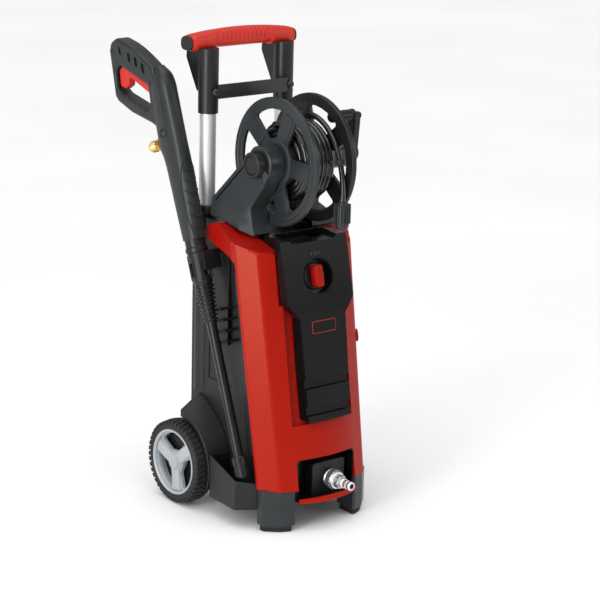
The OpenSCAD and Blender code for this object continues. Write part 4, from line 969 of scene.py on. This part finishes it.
# bayonet, ribbed sleeve, lance and nozzle
bayonet = turned([(9.6, 322), (16, 326), (18, 331), (18, 372), (19, 374), (19, 382), (18, 384),
                  (20.5, 384.4), (20.5, 392.4), (18.6, 393.4), (18.6, 409), (9.6, 409)], 0.9, 96, 3, True)
bayonet = boolean(bayonet, [box(-26, -12, -6, 6, 340, 366, 2.5, 3), box(12, 26, -6, 6, 340, 366, 2.5, 3),
                            box(-6, 6, -26, -14, 340, 366, 2.5, 3)])
inner = pipe(9.5, 13.6, 325, 405, 64)
lugs = [moved(box(17.4, 20, -4, 4, 334, 380, 0.9, 2), turn(a, "Z")) for a in (45, 135, 225, 315)]
piece("bayonet_coupling", [ease(bayonet, 0.6, 2, 40), inner, *lugs], "gun", "black_plastic", GUN,
      ("lance_coupling",), 36)
ribbed = [(9.4, 254), (10.6, 254)]
for k in range(9):
    z, r = 258 + k * 7.6, 11.9 + k * 0.74
    ribbed += [(r - 2.4, z), (r + 1.4, z + 0.5), (r + 1.6, z + 3.2), (r - 2.2, z + 3.9)]
ribbed += [(17.4, 330), (9.4, 330)]
piece("sleeve_ribbed", turned(ribbed, 0.5, 72, 2, True), "gun", "black_plastic", GUN, ("lance_sleeve",))
piece("lance_finish", pipe(5, 9.35, 0, 310, 72, 0.3, 2), "gun", "lance_dark", GUN, ("lance_tube",))
tip = turned([(4, -32), (9, -32), (12, -29), (12.2, -12), (13, -10), (13, 6), (12, 8), (9.45, 8),
              (9.45, -0.3), (4, -0.3)], 0.6, 96, 2, True)
knurls = around(box(12.2, 13.4, -0.9, 0.9, -9, 6, 0.4, 1), 30)
knurls += around(box(11, 12.7, -1, 1, -28, -13, 0.4, 1), 12)
finish("nozzle", [tip, *knurls], "nozzle", "black_plastic", GUN)
eased_copy("gun_holder", "root", 0.7)

# ------------------------ wheels
LUGS = 44                               # in each of the tread's two rows
hole = fillet([*sector(54.5, (-43, -29, -14, 0, 14, 29, 43), 3), (13, 21, 4), (-13, 21, 4)], 0, 4)
for side, name in SIDES:
    hub_at = flip(side) @ at(WHEEL_X, 0, 0) @ AXLE @ ROUND_X
    body_name = f"wheel_{name}"
    carcass = turned([(62, 0.6), (70, 0.6), (76.4, 6), (77.2, 12), (77.2, 30), (76.4, 36), (70, 41.4),
                      (66, 41.4), (65, 40.4), (62, 40.4)], 1.6, 144, 3, True)
    tread = []
    for k in range(LUGS):
        for row, (z0, z1) in enumerate(((1.6, 20), (22, 40.4))):
            lug = box(74.5, 79.7, -3.9, 3.9, z0, z1, 0.7, 2)
            for v in lug.verts:
                edge = (v.co.z - z0) / (z1 - z0) if row else 1 - (v.co.z - z0) / (z1 - z0)
                v.co.y += (edge - 0.5) * 4
                v.co.x -= 2.6 * max(0.0, edge - 0.72) / 0.28
            side_z = 41.3 if row else 0.7
            shoulder = box(66.5, 75, -1.6, 1.6, side_z - 0.5, side_z + 0.4, 0.4, 1)
            for v in shoulder.verts:
                v.co.z -= (1 if row else -1) * max(0.0, v.co.x - 70) * 0.62
            tread += [moved(part, turn((k + row / 2) * 360 / LUGS, "Z")) for part in (lug, shoulder)]
    finish(f"tyre_{name}", [carcass, *tread], body_name, "tyre", hub_at)
    felly = turned([(56, 1), (62, 1), (62, 41), (59.5, 41.4), (57, 39), (56, 34)], 0.8, 144, 3, True)
    star = plate(circle(57, 120), 24, 34, 2.4,
                 [circle(7.2, 32), *(spun(hole, i * 120 + 82) for i in range(3))], 4)
    ridge_line = fillet([(-11.5, 4), (11.5, 4), (12.5, 55.5), (-12.5, 55.5)], 1.5, 3)
    ridge = [moved(plate(ridge_line, 32.5, 37.4, 2.4), turn(i * 120 + 22, "Z")) for i in range(3)]
    hub = turned([(7.1, 0), (17, 0), (17, 24), (20, 33), (17, 37.6), (7.1, 37.6)], 1.4, 72, 3, True)
    finish(f"rim_{name}", [felly, star, *ridge, hub], body_name, "light_rim", hub_at)
    piece(f"rim_{name}_web", pipe(17.1, 55.8, 16, 19, 96, 0.4, 2), body_name, "black_plastic", hub_at)
    dome = turned([(0, 41.6), (8, 41.4), (13, 39.8), (14, 38.2), (14, 37.8), (0, 37.8)], 0.6, 64)
    finish(f"hub_cap_{name}", dome, body_name, "light_rim", hub_at)
bar = turned([(0, -157.5), (6, -157.5), (7, -156.5), (7, 156.5), (6, 157.5), (0, 157.5)], 0.3, 64)
finish("axle", moved(bar, ROUND_X), "root", "steel", AXLE)
gland = turned([(4.5, 185), (8, 185), (8, 193), (12.6, 193), (12.6, 201), (11, 202), (10.6, 204),
                (8.4, 210.4), (4.5, 210.4)], 0.6, 48, 2, True)
piece("gland_finish", gland, "root", "black_plastic", at(0, 0, 300) @ turn(-90, "X"), ("cable_gland",))

for name, node in NODES.items():
    node.data.materials.clear()
    node.data.materials.append(MATERIALS[SLOTS[name]])

# ------------------------ floor and light
FLOOR_HALF, FLOOR_DROP = 20, 0.0004     # m
floor_mesh = bmesh.new()
bmesh.ops.create_grid(floor_mesh, x_segments=1, y_segments=1, size=FLOOR_HALF)
data = bpy.data.meshes.new("floor")
floor_mesh.to_mesh(data)
floor_mesh.free()
floor = bpy.data.objects.new("floor", data)
floor.location.z = -FLOOR_DROP
bpy.context.collection.objects.link(floor)
data.materials.append(material("floor_pale", (0.84,) * 3, (0.87,) * 3, (0.55, 0.62), 900, 4, 0.01))

world = bpy.data.worlds.new("studio")
bpy.context.scene.world = world
world.use_nodes = True
world.node_tree.nodes["Background"].inputs["Color"].default_value = (1, 1, 1, 1)
world.node_tree.nodes["Background"].inputs["Strength"].default_value = 0.5


def lamp(name, kind, place, aim, power, size=(1, 1)):
    light = bpy.data.objects.new(name, bpy.data.lights.new(name, kind))
    light.data.energy = power
    if kind == "AREA":
        light.data.shape, light.data.size, light.data.size_y = "RECTANGLE", *size
    else:
        light.data.angle = radians(75)
    light.location = place
    light.rotation_euler = (Vector(aim) - Vector(place)).to_track_quat("-Z", "Y").to_euler()
    bpy.context.collection.objects.link(light)


lamp("sky", "SUN", (-0.5, -0.4, 3), (0, 0, 0), 2.1)
lamp("key", "AREA", (-2.6, -0.9, 1.0), (0, 0, 0.45), 52, (0.8, 2.0))
lamp("rim", "AREA", (2.3, -3.0, 1.75), (0, 0, 0.5), 16, (1.6, 0.9))
bpy.context.scene.view_settings.view_transform = "Standard"
